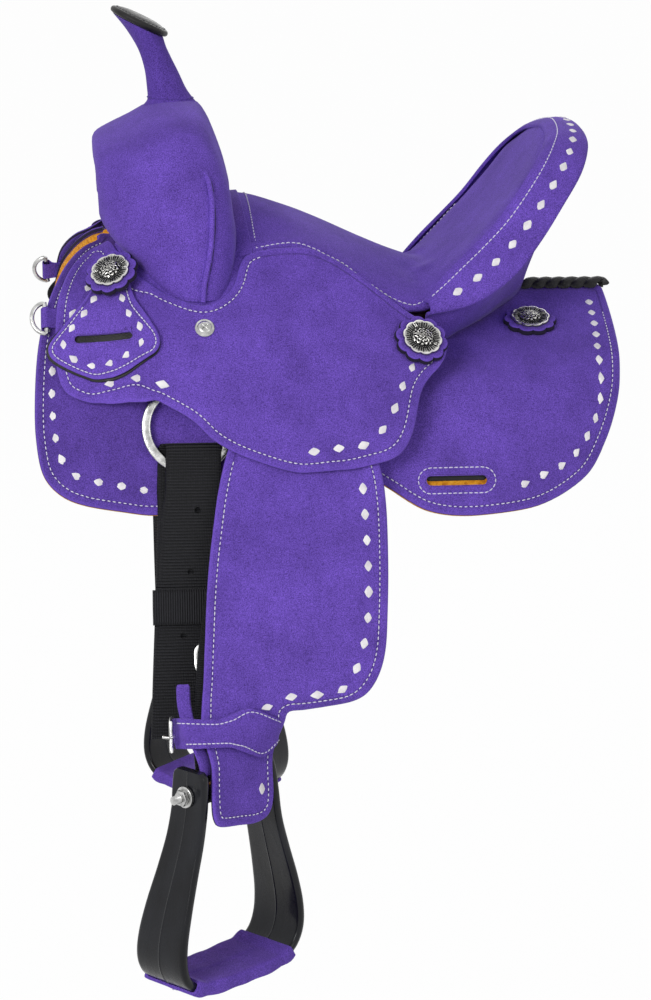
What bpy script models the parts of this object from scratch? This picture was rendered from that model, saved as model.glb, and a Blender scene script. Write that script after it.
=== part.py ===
# Barrel racing saddle for a child, seat about 305 mm (12 inch)
# +X points to the rear of the horse, -X to the head, -Y to the horse's left side, +Z up.
# The origin is on the ridge line where the saddle lies on the horse's back.
# The left side is shaped here and the right side is its mirror image.

import bpy
import bmesh
import math
from functools import lru_cache
from mathutils import Vector, Matrix

for old in list(bpy.data.objects):
    bpy.data.objects.remove(old, do_unlink=True)

MM = 0.001
GAP = 0.4 * MM

# Leather and lining thicknesses
SKIRT_THICK = 4.0 * MM
LINING_THICK = 7.6 * MM
JOCKEY_THICK = 3.1 * MM
COVER_THICK = 3.0 * MM
SEAT_THICK = 12.0 * MM
STRAP_THICK = 3.0 * MM
WEB_THICK = 2.1 * MM

# Side of the saddle: a steep flat side under a sloping top, joined by a soft bend
SIDE_STEEP = math.radians(73)
SIDE_FOOT = 461.5 * MM
RIDGE_REAR = 9.0 * MM
RIDGE_RISE = 69.0 * MM
BEND = 16.0 * MM

# Jockey: lies close on the skirt at the front, stands off over the fender
JOCKEY_LOW = 6.0 * MM
JOCKEY_HIGH = 22.5 * MM
JOCKEY_PEAK = 173.0 * MM
JOCKEY_DROP = 40.0 * MM
JOCKEY_TILT = 1.07

# Layers hanging at the side, measured outwards from the skirt
FENDER_IN = 13.6 * MM
FENDER_THICK = 3.3 * MM
LEATHER_IN = 9.2 * MM

# Rigging ring and cinch strap
RING_X = -125.0 * MM
RING_V = -81.7 * MM
RING_R = 38.0 * MM
RING_BAND = 7.5 * MM
RING_LOW = 2.0 * MM
RING_THICK = 4.0 * MM
WEB_WIDE = 44.5 * MM
WEB_END = -331.0 * MM
WEB_HOLE = 5.0 * MM
WEB_BEND = -152.0 * MM
WEB_INWARD = 25.0 * MM

# Fender, stirrup leather and stirrup
PIVOT_X = -72.0 * MM
LEATHER_TOP_X = -62.0 * MM
PIVOT_V = -60.0 * MM
TWIST = math.radians(42)
TWIST_X = -101.5 * MM
TWIST_TOP = -296.0 * MM
TWIST_END = -352.0 * MM
BOLT_V = -368.0 * MM
LEATHER_WIDE = 50.0 * MM
LOOP_R = 8.9 * MM
STIRRUP_LEAN = 0.05

# At rest the right side's straps hang this far back, behind the left ones
RIGHT_FENDER_SWING = math.radians(2.7)
RIGHT_CINCH_SWING = math.radians(4)

# Trim
ROSETTE_R = 22.0 * MM
ROSETTE_THICK = 4.6 * MM
SCREW_R = 7.8 * MM
DEE_WIRE = 1.9 * MM
SLOT_LONG = 50.0 * MM
SLOT_TALL = 8.0 * MM

TAN_SIDE = math.tan(SIDE_STEEP)
COS_SIDE = math.cos(SIDE_STEEP)
SIN_SIDE = math.sin(SIDE_STEEP)

# Colours
PURPLE = (0.11, 0.045, 0.36)
BLACK = (0.012, 0.012, 0.014)
ORANGE = (0.75, 0.30, 0.03)
STEEL = (0.62, 0.62, 0.63)
WOOD = (0.55, 0.36, 0.19)

saddle = bpy.data.collections.new("barrel_racing_saddle")
bpy.context.scene.collection.children.link(saddle)
cutters = bpy.data.collections.new("cutters")
bpy.context.scene.collection.children.link(cutters)


# Shared shape tools

def ease(a, b, v):
    t = min(1.0, max(0.0, (v - a) / (b - a)))
    return t * t * (3 - 2 * t)


def lower_of(a, b, k):
    return 0.5 * (a + b) - math.sqrt(0.25 * (a - b) ** 2 + k * k)


def mix(a, b, t):
    return a + (b - a) * t


def smooth_line(points, steps, closed=False):
    """Smooth curve through the points. A point given as a list is a sharp corner."""
    out = []
    n = len(points)
    last = n if closed else n - 1
    for i in range(last):
        p1 = points[i]
        p2 = points[(i + 1) % n]
        p0 = points[i - 1] if closed or i > 0 else p1
        p3 = points[(i + 2) % n] if closed or i + 2 < n else p2
        sharp1 = isinstance(p1, list) or (not closed and i == 0)
        sharp2 = isinstance(p2, list) or (not closed and i == n - 2)
        for j in range(steps):
            t = j / steps
            row = []
            for a, b, c, d in zip(p0, p1, p2, p3):
                m1 = (c - b) if sharp1 else 0.5 * (c - a)
                m2 = (c - b) if sharp2 else 0.5 * (d - b)
                h1 = 2 * t ** 3 - 3 * t ** 2 + 1
                h2 = t ** 3 - 2 * t ** 2 + t
                h3 = -2 * t ** 3 + 3 * t ** 2
                h4 = t ** 3 - t ** 2
                row.append(h1 * b + h2 * m1 + h3 * c + h4 * m2)
            out.append(tuple(row))
    if not closed:
        out.append(tuple(points[-1]))
    return out


def in_metres(points):
    return [type(p)(c * MM for c in p) for p in points]


def make_node(name, mesh, colour, rough=0.8, metal=0.0, home=saddle):
    """Object with its own material, kept in the saddle's collection."""
    mat = bpy.data.materials.new(name + "_material")
    mat.use_nodes = True
    shader = mat.node_tree.nodes["Principled BSDF"]
    shader.inputs["Base Color"].default_value = (*colour, 1)
    shader.inputs["Roughness"].default_value = rough
    shader.inputs["Metallic"].default_value = metal
    mesh.name = name
    mesh.materials.clear()
    mesh.materials.append(mat)
    ob = bpy.data.objects.new(name, mesh)
    home.objects.link(ob)
    return ob


def close_mesh(bm):
    bmesh.ops.triangulate(bm, faces=bm.faces[:])
    bmesh.ops.recalc_face_normals(bm, faces=bm.faces[:])
    if bm.calc_volume(signed=True) < 0:
        bmesh.ops.reverse_faces(bm, faces=bm.faces[:])
    mesh = bpy.data.meshes.new("shape")
    bm.to_mesh(mesh)
    bm.free()
    return mesh


def sheet(outline, place, low, high, steps):
    """Flat outline cut into a grid, given thickness and laid on the surface by place."""
    bm = bmesh.new()
    corners = [bm.verts.new((a, b, 0)) for a, b in outline]
    bm.faces.new(corners)
    for axis in (0, 1):
        least = min(p[axis] for p in outline)
        most = max(p[axis] for p in outline)
        step = steps[axis] * MM
        normal = (1, 0, 0) if axis == 0 else (0, 1, 0)
        for k in range(math.ceil(least / step), math.floor(most / step) + 1):
            at = k * step
            bmesh.ops.bisect_plane(
                bm,
                geom=bm.verts[:] + bm.edges[:] + bm.faces[:],
                dist=0.0004,
                plane_co=(at, at, 0),
                plane_no=normal,
            )
    grown = bmesh.ops.extrude_face_region(bm, geom=bm.faces[:])
    for item in grown["geom"]:
        if isinstance(item, bmesh.types.BMVert):
            item.co.z = 1.0
    for v in bm.verts:
        a, b, top = v.co
        level = high if top > 0.5 else low
        if callable(level):
            level = level(a, b)
        v.co = place(a, b, level)
    return close_mesh(bm)


def skin(rows, ends=True, around=True):
    """Closed body through rows of points, each row a ring, with flat ends."""
    bm = bmesh.new()
    rings = [[bm.verts.new(p) for p in row] for row in rows]
    n = len(rings[0])
    for a, b in zip(rings, rings[1:]):
        for j in range(n if around else n - 1):
            k = (j + 1) % n
            bm.faces.new((a[j], a[k], b[k], b[j]))
    if ends:
        bm.faces.new(rings[0])
        bm.faces.new(rings[-1])
    else:
        for j in range(n):
            k = (j + 1) % n
            bm.faces.new((rings[-1][j], rings[-1][k], rings[0][k], rings[0][j]))
    return close_mesh(bm)


def shell(grid, inside, outside=0.0):
    """Open patch of points thickened along its own normals into a closed body."""
    rows = len(grid)
    cols = len(grid[0])
    pts = [[Vector(p) for p in row] for row in grid]
    normals = []
    for i in range(rows):
        line = []
        for j in range(cols):
            du = pts[min(i + 1, rows - 1)][j] - pts[max(i - 1, 0)][j]
            dv = pts[i][min(j + 1, cols - 1)] - pts[i][max(j - 1, 0)]
            line.append(du.cross(dv).normalized())
        normals.append(line)
    bm = bmesh.new()
    layers = []
    for level in (outside, -inside):
        layers.append([
            [bm.verts.new(pts[i][j] + normals[i][j] * level) for j in range(cols)]
            for i in range(rows)
        ])
    for layer in layers:
        for i in range(rows - 1):
            for j in range(cols - 1):
                bm.faces.new((layer[i][j], layer[i][j + 1], layer[i + 1][j + 1], layer[i + 1][j]))
    edge = [(0, j) for j in range(cols)]
    edge += [(i, cols - 1) for i in range(1, rows)]
    edge += [(rows - 1, j) for j in range(cols - 2, -1, -1)]
    edge += [(i, 0) for i in range(rows - 2, 0, -1)]
    for (a, b), (c, d) in zip(edge, edge[1:] + edge[:1]):
        bm.faces.new((layers[0][a][b], layers[0][c][d], layers[1][c][d], layers[1][a][b]))
    return close_mesh(bm)


def cut(ob, mesh, name):
    """Takes the cutter's shape out of the object."""
    tool = make_node(name, mesh, BLACK, home=cutters)
    tool.hide_render = True
    tool.display_type = "WIRE"
    mod = ob.modifiers.new(name, "BOOLEAN")
    mod.solver = "EXACT"
    mod.operation = "DIFFERENCE"
    mod.object = tool


def right_place(swing):
    """Mirror across the centre line, then the swing back about (x, v) in the side."""
    place = Matrix.Scale(-1, 4, (0, 1, 0))
    if swing:
        at = in_side(swing[0], swing[1], 0)
        middle = Vector((at.x, -at.y, at.z))
        side = Matrix.Rotation(-swing[2], 4, Vector((0, SIN_SIDE, COS_SIDE)))
        place = Matrix.Translation(middle) @ side @ Matrix.Translation(-middle) @ place
    return place


def mirrored(ob, name, swing=None):
    """The same piece for the horse's right side, where it hangs there."""
    bpy.context.view_layer.update()
    seen = ob.evaluated_get(bpy.context.evaluated_depsgraph_get())
    mesh = bpy.data.meshes.new_from_object(seen)
    mesh.transform(right_place(swing) @ ob.matrix_world)
    mesh.flip_normals()
    shader = ob.data.materials[0].node_tree.nodes["Principled BSDF"]
    return make_node(
        name,
        mesh,
        tuple(shader.inputs["Base Color"].default_value)[:3],
        shader.inputs["Roughness"].default_value,
        shader.inputs["Metallic"].default_value,
    )


def both_sides(stem, mesh, colour, rough=0.8, metal=0.0, holes=(), swing=None):
    """Left piece from the mesh, its holes cut, then the right piece from it."""
    left = make_node(stem + "_left", mesh, colour, rough, metal)
    for k, tool in enumerate(holes):
        cut(left, tool, f"{stem}_cutter_{k + 1}")
    mirrored(left, stem + "_right", swing)
    return left


def round_piece(profile, count, frame, lobes=0, depth=0.0):
    """Turned piece: profile of (radius, height, lobe share), on the frame's z axis."""
    rows = []
    for r, h, share in profile:
        ring = []
        for k in range(count):
            a = 2 * math.pi * k / count
            rr = r * (1 - depth * share * (0.5 - 0.5 * math.cos(lobes * a)))
            ring.append(frame @ Vector((rr * math.cos(a), rr * math.sin(a), h)))
        rows.append(ring)
    return skin(rows)


def bar(path, radius, sides=8, closed=False):
    """Round wire along a path."""
    curve = bpy.data.curves.new("wire", "CURVE")
    curve.dimensions = "3D"
    curve.bevel_depth = radius
    curve.bevel_resolution = (sides - 4) // 2
    curve.resolution_u = 1
    curve.render_resolution_u = 0
    curve.use_fill_caps = not closed
    line = curve.splines.new("POLY")
    line.points.add(len(path) - 1)
    for point, co in zip(line.points, path):
        point.co = (*co, 1)
    line.use_cyclic_u = closed
    holder = bpy.data.objects.new("wire", curve)
    cutters.objects.link(holder)
    bpy.context.view_layer.update()
    mesh = bpy.data.meshes.new_from_object(
        holder.evaluated_get(bpy.context.evaluated_depsgraph_get())
    )
    bpy.data.objects.remove(holder, do_unlink=True)
    bm = bmesh.new()
    bm.from_mesh(mesh)
    return close_mesh(bm)


# Surfaces of the skirt and the jockey, as height over (x, distance from the centre line)

def end_pull(x):
    rear = max(0.0, x - 120 * MM)
    front = max(0.0, -190 * MM - x)
    return 3.0 * rear * rear + 2.0 * front * front


def skirt_z(x, y, lift=0.0):
    ridge = RIDGE_REAR + RIDGE_RISE * (1 - ease(-215 * MM, 70 * MM, x))
    slope = 0.36 + 0.09 * (1 - ease(-200 * MM, 100 * MM, x))
    top = ridge - slope * y + lift * math.sqrt(1 + slope * slope)
    side = SIDE_FOOT - TAN_SIDE * (y + end_pull(x)) + lift / COS_SIDE
    return lower_of(top, side, BEND)


def jockey_z(x, y):
    stand = ease(-205 * MM, -150 * MM, x)
    peak = JOCKEY_PEAK - JOCKEY_DROP * ease(-30 * MM, 80 * MM, x)
    side = SIDE_FOOT - TAN_SIDE * (y + end_pull(x)) + JOCKEY_HIGH / COS_SIDE
    high = lower_of(peak - JOCKEY_TILT * y, side, 12 * MM)
    return mix(skirt_z(x, y, JOCKEY_LOW), high, stand)


@lru_cache(maxsize=None)
def cross_line(surface, x):
    """Lengths along the surface from the centre line, at steps of 1.5 mm outwards."""
    step = 1.5 * MM
    table = [(0.0, 0.0, surface(x, 0.0))]
    for k in range(1, 170):
        y = k * step
        z = surface(x, y)
        s0, y0, z0 = table[-1]
        table.append((s0 + math.hypot(y - y0, z - z0), y, z))
    return table


def laid(surface):
    """Place rule: (x, length from the centre line, height off the surface) to a point."""
    def place(x, s, h):
        table = cross_line(surface, round(x, 5))
        low = 0
        top = len(table) - 1
        while top - low > 1:
            half = (low + top) // 2
            if table[half][0] <= s:
                low = half
            else:
                top = half
        s0, y0, z0 = table[low]
        s1, y1, z1 = table[top]
        t = (s - s0) / (s1 - s0)
        y = mix(y0, y1, t)
        before = max(0.0, y - 2 * MM)
        fall = (surface(x, y + 2 * MM) - surface(x, before)) / (y + 2 * MM - before)
        size = math.hypot(1, fall)
        return Vector((x, -(y - fall / size * h), surface(x, y) + h / size))
    return place


on_skirt = laid(skirt_z)
on_jockey = laid(jockey_z)


def spot(place, x, s, h, turn=0.0):
    """Frame on a surface: z outwards, x along the saddle."""
    at = place(x, s, h)
    out = (place(x, s, h + 5 * MM) - at).normalized()
    along = (place(x + 4 * MM, s, h) - place(x - 4 * MM, s, h)).normalized()
    across = out.cross(along).normalized()
    along = across.cross(out)
    frame = Matrix((along, across, out)).transposed().to_4x4()
    frame.translation = at
    return frame @ Matrix.Rotation(turn, 4, "Z")


def resting(place, x, s, h, radius):
    """Frame of a flat disc that rests on the surface without cutting into it."""
    level = h if callable(h) else lambda a, b: h
    at = place(x, s, level(x, s))
    along = place(x + radius, s, 0) - place(x - radius, s, 0)
    across = place(x, s + radius, 0) - place(x, s - radius, 0)
    out = across.cross(along).normalized()
    if out.z < 0:
        out.negate()
    rise = 0.0
    for k in range(24):
        a = 2 * math.pi * k / 24
        for r in (0.5 * radius, radius):
            x2 = x + r * math.cos(a)
            s2 = s + r * math.sin(a)
            near = place(x2, s2, level(x2, s2))
            rise = max(rise, (near - at).dot(out))
    x_axis = (along - out * along.dot(out)).normalized()
    frame = Matrix((x_axis, out.cross(x_axis), out)).transposed().to_4x4()
    frame.translation = at + out * rise
    return frame


def in_side(x, v, h):
    """Point in the flat steep side: x along, v up the slope, h outwards."""
    y = -SIDE_FOOT / TAN_SIDE + COS_SIDE * v - SIN_SIDE * h
    z = SIN_SIDE * v + COS_SIDE * h
    return Vector((x, y, z))


def in_leg(x, v, h):
    """Same, but turned towards the front below the fender, as the stirrup hangs."""
    angle = TWIST * ease(-TWIST_TOP, -TWIST_END, -v)
    base = in_side(TWIST_X, v, 0)
    along = Vector((math.cos(angle), math.sin(angle), 0))
    out = Vector((math.sin(angle), -SIN_SIDE * math.cos(angle), COS_SIDE * math.cos(angle)))
    return base + along * (x - TWIST_X) + out.normalized() * h


CINCH_SWING = (RING_X, RING_V, RIGHT_CINCH_SWING)
FENDER_SWING = (PIVOT_X, PIVOT_V, RIGHT_FENDER_SWING)

# Skirts and their lining

SKIRT_LINE = [
    [-186, 33], (-195, 44.5), (-208, 58), (-221, 83), (-230, 111), (-238, 141), (-245, 175),
    (-248, 214), (-247.6, 246.5), (-242.5, 275), (-229, 293), (-209, 303), (-182, 306.5),
    (-150, 305), (-120, 290), (-92, 262), (-62, 240), (-20, 230), (12, 233), (35, 243.5),
    (69, 262), (109, 266), (159, 256.5), (199.5, 226.5), (220, 190), (232.5, 152),
    (236.5, 121), (238.5, 70), (239, 28), [238.5, 2.5], [165, 2.5], (138, 10), (112, 28),
    (50, 33), (-100, 33),
]
skirt_outline = in_metres(SKIRT_LINE)

slot_frame = spot(on_skirt, 91.5 * MM, 237.5 * MM, 0)


def slot_tool(grow):
    """Long hole with round ends through the rear of the skirt."""
    half = SLOT_LONG / 2 - SLOT_TALL / 2
    r = SLOT_TALL / 2 + grow
    rows = []
    for h in (-16 * MM, 4 * MM):
        ring = []
        for k in range(12):
            a = 2 * math.pi * (k + 0.5) / 12
            side = math.copysign(half, math.cos(a))
            ring.append(slot_frame @ Vector((side + r * math.cos(a), r * math.sin(a), h)))
        rows.append(ring)
    return skin(rows)


both_sides(
    "skirt",
    sheet(skirt_outline, on_skirt, -SKIRT_THICK, 0, (32, 20)),
    PURPLE,
    0.9,
    holes=[slot_tool(0)],
)


def under_skirt(x, s, h):
    return on_skirt(x, max(s, 7 * MM), h)


both_sides(
    "lining",
    sheet(skirt_outline, under_skirt, -SKIRT_THICK - GAP - LINING_THICK, -SKIRT_THICK - GAP, (32, 20)),
    ORANGE,
    0.85,
    holes=[slot_tool(4 * MM)],
)

# Lace that joins the two skirts behind the cantle, one raised turn after another
lace_rows = []
LACE_TURNS = 8
for i in range(LACE_TURNS * 4 + 1):
    x = mix(177 * MM, 237 * MM, i / (LACE_TURNS * 4))
    puff = abs(math.sin(math.pi * i / 4))
    wide = (6.5 + 1.3 * puff) * MM
    high = (1.6 + 1.4 * puff) * MM
    ring = []
    for y, up in ((-1, 0), (-0.7, 0.8), (0, 1), (0.7, 0.8), (1, 0), (0, 0)):
        foot = skirt_z(x, abs(y * wide)) + 0.5 * MM
        if y == 0 and up == 0:
            foot = max(foot, skirt_z(x, 0) + 0.5 * MM)
        ring.append((x, y * wide, foot + up * high))
    lace_rows.append(ring)
make_node("skirt_lace", skin(lace_rows), BLACK, 0.6)

# Tree: bars, fork and cantle

BAR_LINE = [
    (-176, 60), (-168, 84), (-145, 94), (-118, 104.4), (-90, 104.4), (-40, 110), (40, 110), (70, 98),
    (92, 86), (110, 75), (126, 61), (124, 44), (40, 42), (-60, 42), (-150, 42),
]
bar_outline = in_metres(BAR_LINE)


def bar_top(x, s):
    across = 1 - ((s / MM - 78) / 46) ** 2
    along = ease(-190 * MM, -60 * MM, x) * (1 - 0.5 * ease(80 * MM, 125 * MM, x))
    return (5 + 11 * max(0.0, across) * along) * MM


both_sides("tree_bar", sheet(bar_outline, on_skirt, GAP, bar_top, (32, 20)), WOOD, 0.7)

# Fork: stations along the arch as (y, z, lean outwards, half thickness, front x, rear x)
FORK = in_metres([
    (0, 137, 29, -194, -86),
    (48, 133, 28, -193, -86),
    (88, 121, 29, -192, -87),
    (108, 93, 30, -189, -86),
    (112, 68, 27, -181, -84),
    (112, 50, 25, -165, -85),
    (113, 37, 24, -157, -87),
    (116, 24, 20.5, -147, -90),
])
FORK_LEAN = (0, 7, 30, 67, 90, 93, 98, 101)

# Fork section from the front foot over the outside to the rear foot, as (along, outwards)
FORK_TOP = [
    (-0.92, -1.0), (-0.98, -0.6), (-1.0, -0.2), (-0.98, 0.08), (-0.8, 0.3), (-0.45, 0.62),
    (-0.15, 0.92), (0.15, 1.04), (0.5, 1.0), (0.66, 0.7), (0.80, 0.1), (0.90, -0.45), (0.97, -1.0),
]
FORK_SIDE = [
    (-1.0, -1.0), (-0.99, -0.7), (-0.94, -0.3), (-0.84, 0.1), (-0.68, 0.45), (-0.46, 0.74),
    (-0.18, 0.93), (0.15, 1.0), (0.45, 0.95), (0.7, 0.76), (0.87, 0.4), (0.96, -0.2), (1.0, -1.0),
]


def fork_grid(inset, closing):
    """Rows around the arch from the left foot over the top to the right foot."""
    half = [(*row, lean) for row, lean in zip(FORK, FORK_LEAN)]
    stations = [(*row, -1) for row in half[::-1]] + [(*row, 1) for row in half[1:]]
    grid = []
    for y, z, thick, front, rear, lean, side in stations:
        tilt = math.radians(lean)
        out = Vector((0, side * math.sin(tilt), math.cos(tilt)))
        share = ease(8, 65, lean)
        row = []
        for top, low in zip(FORK_TOP + closing, FORK_SIDE + closing):
            along = mix(top[0], low[0], share)
            away = mix(top[1], low[1], share)
            x = 0.5 * (front + rear) + (0.5 * (rear - front) - inset) * along
            row.append(Vector((x, side * y, z)) + out * (thick - inset) * away)
        grid.append(row)
    return grid


inner_side = [(0.5, -1.0), (0.0, -1.0), (-0.5, -1.0)]
make_node("tree_fork", skin(fork_grid(COVER_THICK - 1.7 * MM, inner_side)), WOOD, 0.7)
make_node("fork_cover", shell(fork_grid(0, []), COVER_THICK), PURPLE, 0.9)

# Horn: leaning neck in suede and a tilted black cap
# Neck rings: (x, z, half length, half width, tilt in degrees)
NECK = [
    (-130, 170.2, 19.5, 20, 0),
    (-134, 180, 16.5, 17, 4),
    (-138, 194, 14.5, 15, 8),
    (-143.5, 208, 14.5, 15.5, 16),
    (-150, 220, 18, 19.5, 24),
    (-157, 231.5, 23, 25, 26),
]
neck_rows = []
for x, z, long, wide, tilt in smooth_line(NECK, 2):
    turn = math.radians(tilt)
    ring = []
    for k in range(16):
        a = 2 * math.pi * k / 16
        along = long * math.cos(a)
        ring.append(Vector((
            x + along * math.cos(turn),
            wide * math.sin(a),
            z - along * math.sin(turn),
        )) * MM)
    neck_rows.append(ring)
neck = make_node("horn_neck", skin(neck_rows), PURPLE, 0.9)
horn_frame = Matrix.Translation(Vector((-157.2, 0, 232)) * MM)
horn_frame = horn_frame @ Matrix.Rotation(math.radians(26), 4, "Y") @ Matrix.Diagonal((1, 1.08, 1, 1))
cap_profile = in_metres([
    (21, 0, 0), (24.5, 0.8, 0), (26, 3, 0), (25.5, 5.5, 0), (23, 7, 0), (14, 8, 0), (5, 8.3, 0),
])
make_node("horn_cap", round_piece(cap_profile, 24, horn_frame), BLACK, 0.45)

# Seat and cantle
# Rows from the fork back to the rim: centre point then edge point
SEAT_ROWS = [
    ((-82, 0, 92), (-76, 107, 55)),
    ((-60, 0, 87), (-58, 105, 60)),
    ((-30, 0, 75), (-30, 102, 62)),
    ((0, 0, 62), (2, 105, 48)),
    ((34, 0, 46), (34, 112, 24)),
    ((66, 0, 34), (58, 117, 11)),
    ((92, 0, 38), (73, 111, 13)),
    ((116, 0, 54), (92, 110, 33)),
    ((137, 0, 76), (116, 110, 58)),
    ((157, 0, 101), (137, 109, 81)),
    ((175, 0, 127), (154, 105, 104)),
    ((189, 0, 147), (168, 92, 122)),
]
CREST = [
    (189, 0, 147), (186, 42, 143), (179, 70, 136), (167, 94, 121), (153, 106, 102),
    (135, 110, 78), (116, 110, 58), (98, 110, 40), (85, 110, 26), (72, 111, 12),
]
OUTER = [
    (214, 0, 145), (215, 44, 140), (212, 72, 131), (202, 98, 114), (185, 113, 90),
    (168, 118, 64), (148, 121, 38), (125, 123, 20), (104, 123, 10), (76, 122, 4),
]
# Where the cantle's back leather meets the skirt, as (x, distance from the centre line)
FOOT = [
    (170, 0), (165, 18), (158, 32), (151, 45), (144, 57),
    (136, 68), (126, 78), (113, 87), (99, 95), (84, 104),
]


def seat_grid(count):
    grid = []
    for centre, edge in zip(
        [r[0] for r in SEAT_ROWS], [r[1] for r in SEAT_ROWS]
    ):
        row = []
        for k in range(count):
            f = mix(-1, 1, k / (count - 1))
            g = abs(f) ** 2.3
            row.append(Vector((
                mix(centre[0], edge[0], g),
                edge[1] * f,
                mix(centre[2], edge[2], g),
            )) * MM)
        grid.append(row)
    return grid


make_node("seat_cover", shell(seat_grid(15), SEAT_THICK), PURPLE, 0.9)


def rim_line(points):
    """Whole rim from the left ear over the top to the right ear."""
    half = [(x, -y, z) for x, y, z in points[::-1]]
    return [Vector(p) * MM for p in half + points[1:]]


# Band rolled over the rim, tucked in at its outer edge and carried down to the skirt
feet = [(x, -y) for x, y in FOOT[::-1]] + FOOT[1:]
cover_grid = []
for a, b, (foot_x, foot_y) in zip(rim_line(CREST), rim_line(OUTER), feet):
    share = abs(a.y) / (111 * MM)
    side = math.copysign(1, a.y) if a.y else 0
    out = Vector((0.35, 0.7 * side * share, 1.0)).normalized()
    foot_z = skirt_z(foot_x * MM, abs(foot_y) * MM) + 2.2 * MM
    foot = Vector((foot_x * MM, foot_y * MM, foot_z))
    tuck = b - out * 6 * MM + (foot - b).normalized() * 1 * MM - (b - a).normalized() * 4 * MM
    row = [
        a + out * 4.4 * MM + (b - a) * 0.04,
        a.lerp(b, 0.35) + out * 6.6 * MM,
        a.lerp(b, 0.75) + out * 4.5 * MM,
        b,
        tuck,
    ]
    for t in (0.3, 0.65, 1.0):
        row.append(tuck.lerp(foot, t))
    cover_grid.append(row)
cover_grid = [row[::-1] for row in cover_grid]
make_node("cantle_cover", shell(cover_grid, COVER_THICK), PURPLE, 0.9)

# Wooden cantle under the rim, standing on the bars
tree_rows = []
for k in range(9):
    f = mix(-1, 1, k / 8)
    y = 80 * MM * f
    foot_z = skirt_z(120 * MM, abs(y) / 2) / MM + 4.8
    ring = []
    for x, z in (
        (178.5 - 9 * f * f, 108 - 14 * f * f),
        (187.5 - 9 * f * f, 108 - 14 * f * f),
        (168 - 16 * f * f, 62),
        (157 - 14 * f * f, 30),
        (148 - 14 * f * f, foot_z),
        (130 - 12 * f * f, foot_z),
        (143 - 12 * f * f, 32),
        (150.5 - 10 * f * f, 62),
    ):
        ring.append((x * MM, y * (0.5 + 0.5 * ease(20, 100, z)), z * MM))
    tree_rows.append(ring)
make_node("tree_cantle", skin(tree_rows), WOOD, 0.7)

# Seat jockeys, one large side panel each side
JOCKEY_LINE = [
    (-188, 82), (-199, 74), (-209, 84), (-217, 100), (-223, 119), (-227, 137), (-229.5, 155),
    (-230.5, 176), (-229.5, 202), (-224, 218), (-213, 226), (-197, 232), (-186, 244),
    (-176, 259), (-160, 285), (-146, 293), (-123, 307), (-104, 325), (-77, 339), (-36, 351),
    (-3, 344), (22, 329), (42.5, 312), (54, 290), (62, 255), (70, 238), (81, 224), (86.5, 211),
    (84, 194), [77, 186], (52, 176), (34, 169), (4, 161), (-30, 155.5), (-60, 157.5), [-75, 163],
    (-80, 172), (-86, 192), (-97, 205), (-111, 210.5), (-129, 205), (-149, 193), (-162, 172),
    (-174, 134), (-183, 95),
]
jockey_outline = in_metres(JOCKEY_LINE)
both_sides(
    "jockey",
    sheet(jockey_outline, on_jockey, -JOCKEY_THICK, 0, (26, 22)),
    PURPLE,
    0.9,
)

# Conchos on scalloped rosettes, and the plain screws of the jockeys

def keeper_low_side(x, s):
    return (1.9 + 1.7 * (1 - ease(120 * MM, 150 * MM, s))) * MM


def keeper_high_side(x, s):
    return keeper_low_side(x, s) + STRAP_THICK


def concho_set(stem, frame):
    rosette = in_metres([(22, 0, 1), (22, 4.0, 1), (21, 4.6, 1)])
    both_sides("rosette_" + stem, round_piece(rosette, 30, frame, 10, 0.09), PURPLE, 0.9)
    top = frame @ Matrix.Translation((0, 0, ROSETTE_THICK + GAP))
    disc = in_metres([
        (15.8, 0, 1), (16.5, 0.8, 1), (13.6, 1.8, 0), (9.5, 3.8, 0), (4.0, 4.9, 0),
    ])
    both_sides("concho_" + stem, round_piece(disc, 30, top, 10, 0.08), STEEL, 0.3, 1.0)


concho_set("front", resting(
    on_jockey, -188 * MM, 139 * MM, lambda x, s: keeper_high_side(x, s) - 1.6 * MM, ROSETTE_R,
))
concho_set("seat", resting(on_jockey, 65 * MM, 206 * MM, 0.5 * MM, ROSETTE_R))
concho_set("rear", resting(on_skirt, 167 * MM, 66.5 * MM, 0.5 * MM, ROSETTE_R))

screw_profile = in_metres([(7.2, 0, 0), (7.8, 0.7, 0), (7.3, 1.9, 0), (4.5, 2.7, 0), (1.5, 2.9, 0)])
screw_frame = resting(on_jockey, -111 * MM, 232 * MM, 0.4 * MM, SCREW_R)
both_sides("jockey_screw", round_piece(screw_profile, 20, screw_frame), STEEL, 0.3, 1.0)

# Latigo keeper: keyhole shaped tab under the front concho with a slot for the strap
KEEPER_LINE = [
    (-202, 137), (-214, 152), (-226, 167), (-235.5, 181), (-233.5, 192), (-224, 197),
    (-208, 205), (-191, 217), (-174, 236), (-162, 249), (-151, 251), (-147, 241), (-154, 231),
    (-163, 209), (-168, 178), (-171, 140), (-178, 118), (-189, 112), (-198, 120),
]
keeper_outline = in_metres(KEEPER_LINE)
keeper_low = spot(on_jockey, -213 * MM, 177 * MM, 0)
keeper_high = spot(on_jockey, -172 * MM, 212 * MM, 0)
along = keeper_high.translation - keeper_low.translation
keeper_out = (keeper_low.col[2].xyz + keeper_high.col[2].xyz).normalized()
keeper_rows = []
for h in (-2 * MM, 14 * MM):
    ring = []
    for k in range(12):
        a = 2 * math.pi * (k + 0.5) / 12
        end = 0.0 if math.cos(a) < 0 else 1.0
        up = keeper_out.cross(along).normalized()
        point = keeper_low.translation + along * end + keeper_out * h
        point += along.normalized() * (2.4 * MM * math.cos(a)) + up * (2.4 * MM * math.sin(a))
        ring.append(point)
    keeper_rows.append(ring)


both_sides(
    "latigo_keeper",
    sheet(keeper_outline, on_jockey, keeper_low_side, keeper_high_side, (26, 22)),
    PURPLE,
    0.9,
    holes=[skin(keeper_rows)],
)

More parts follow.
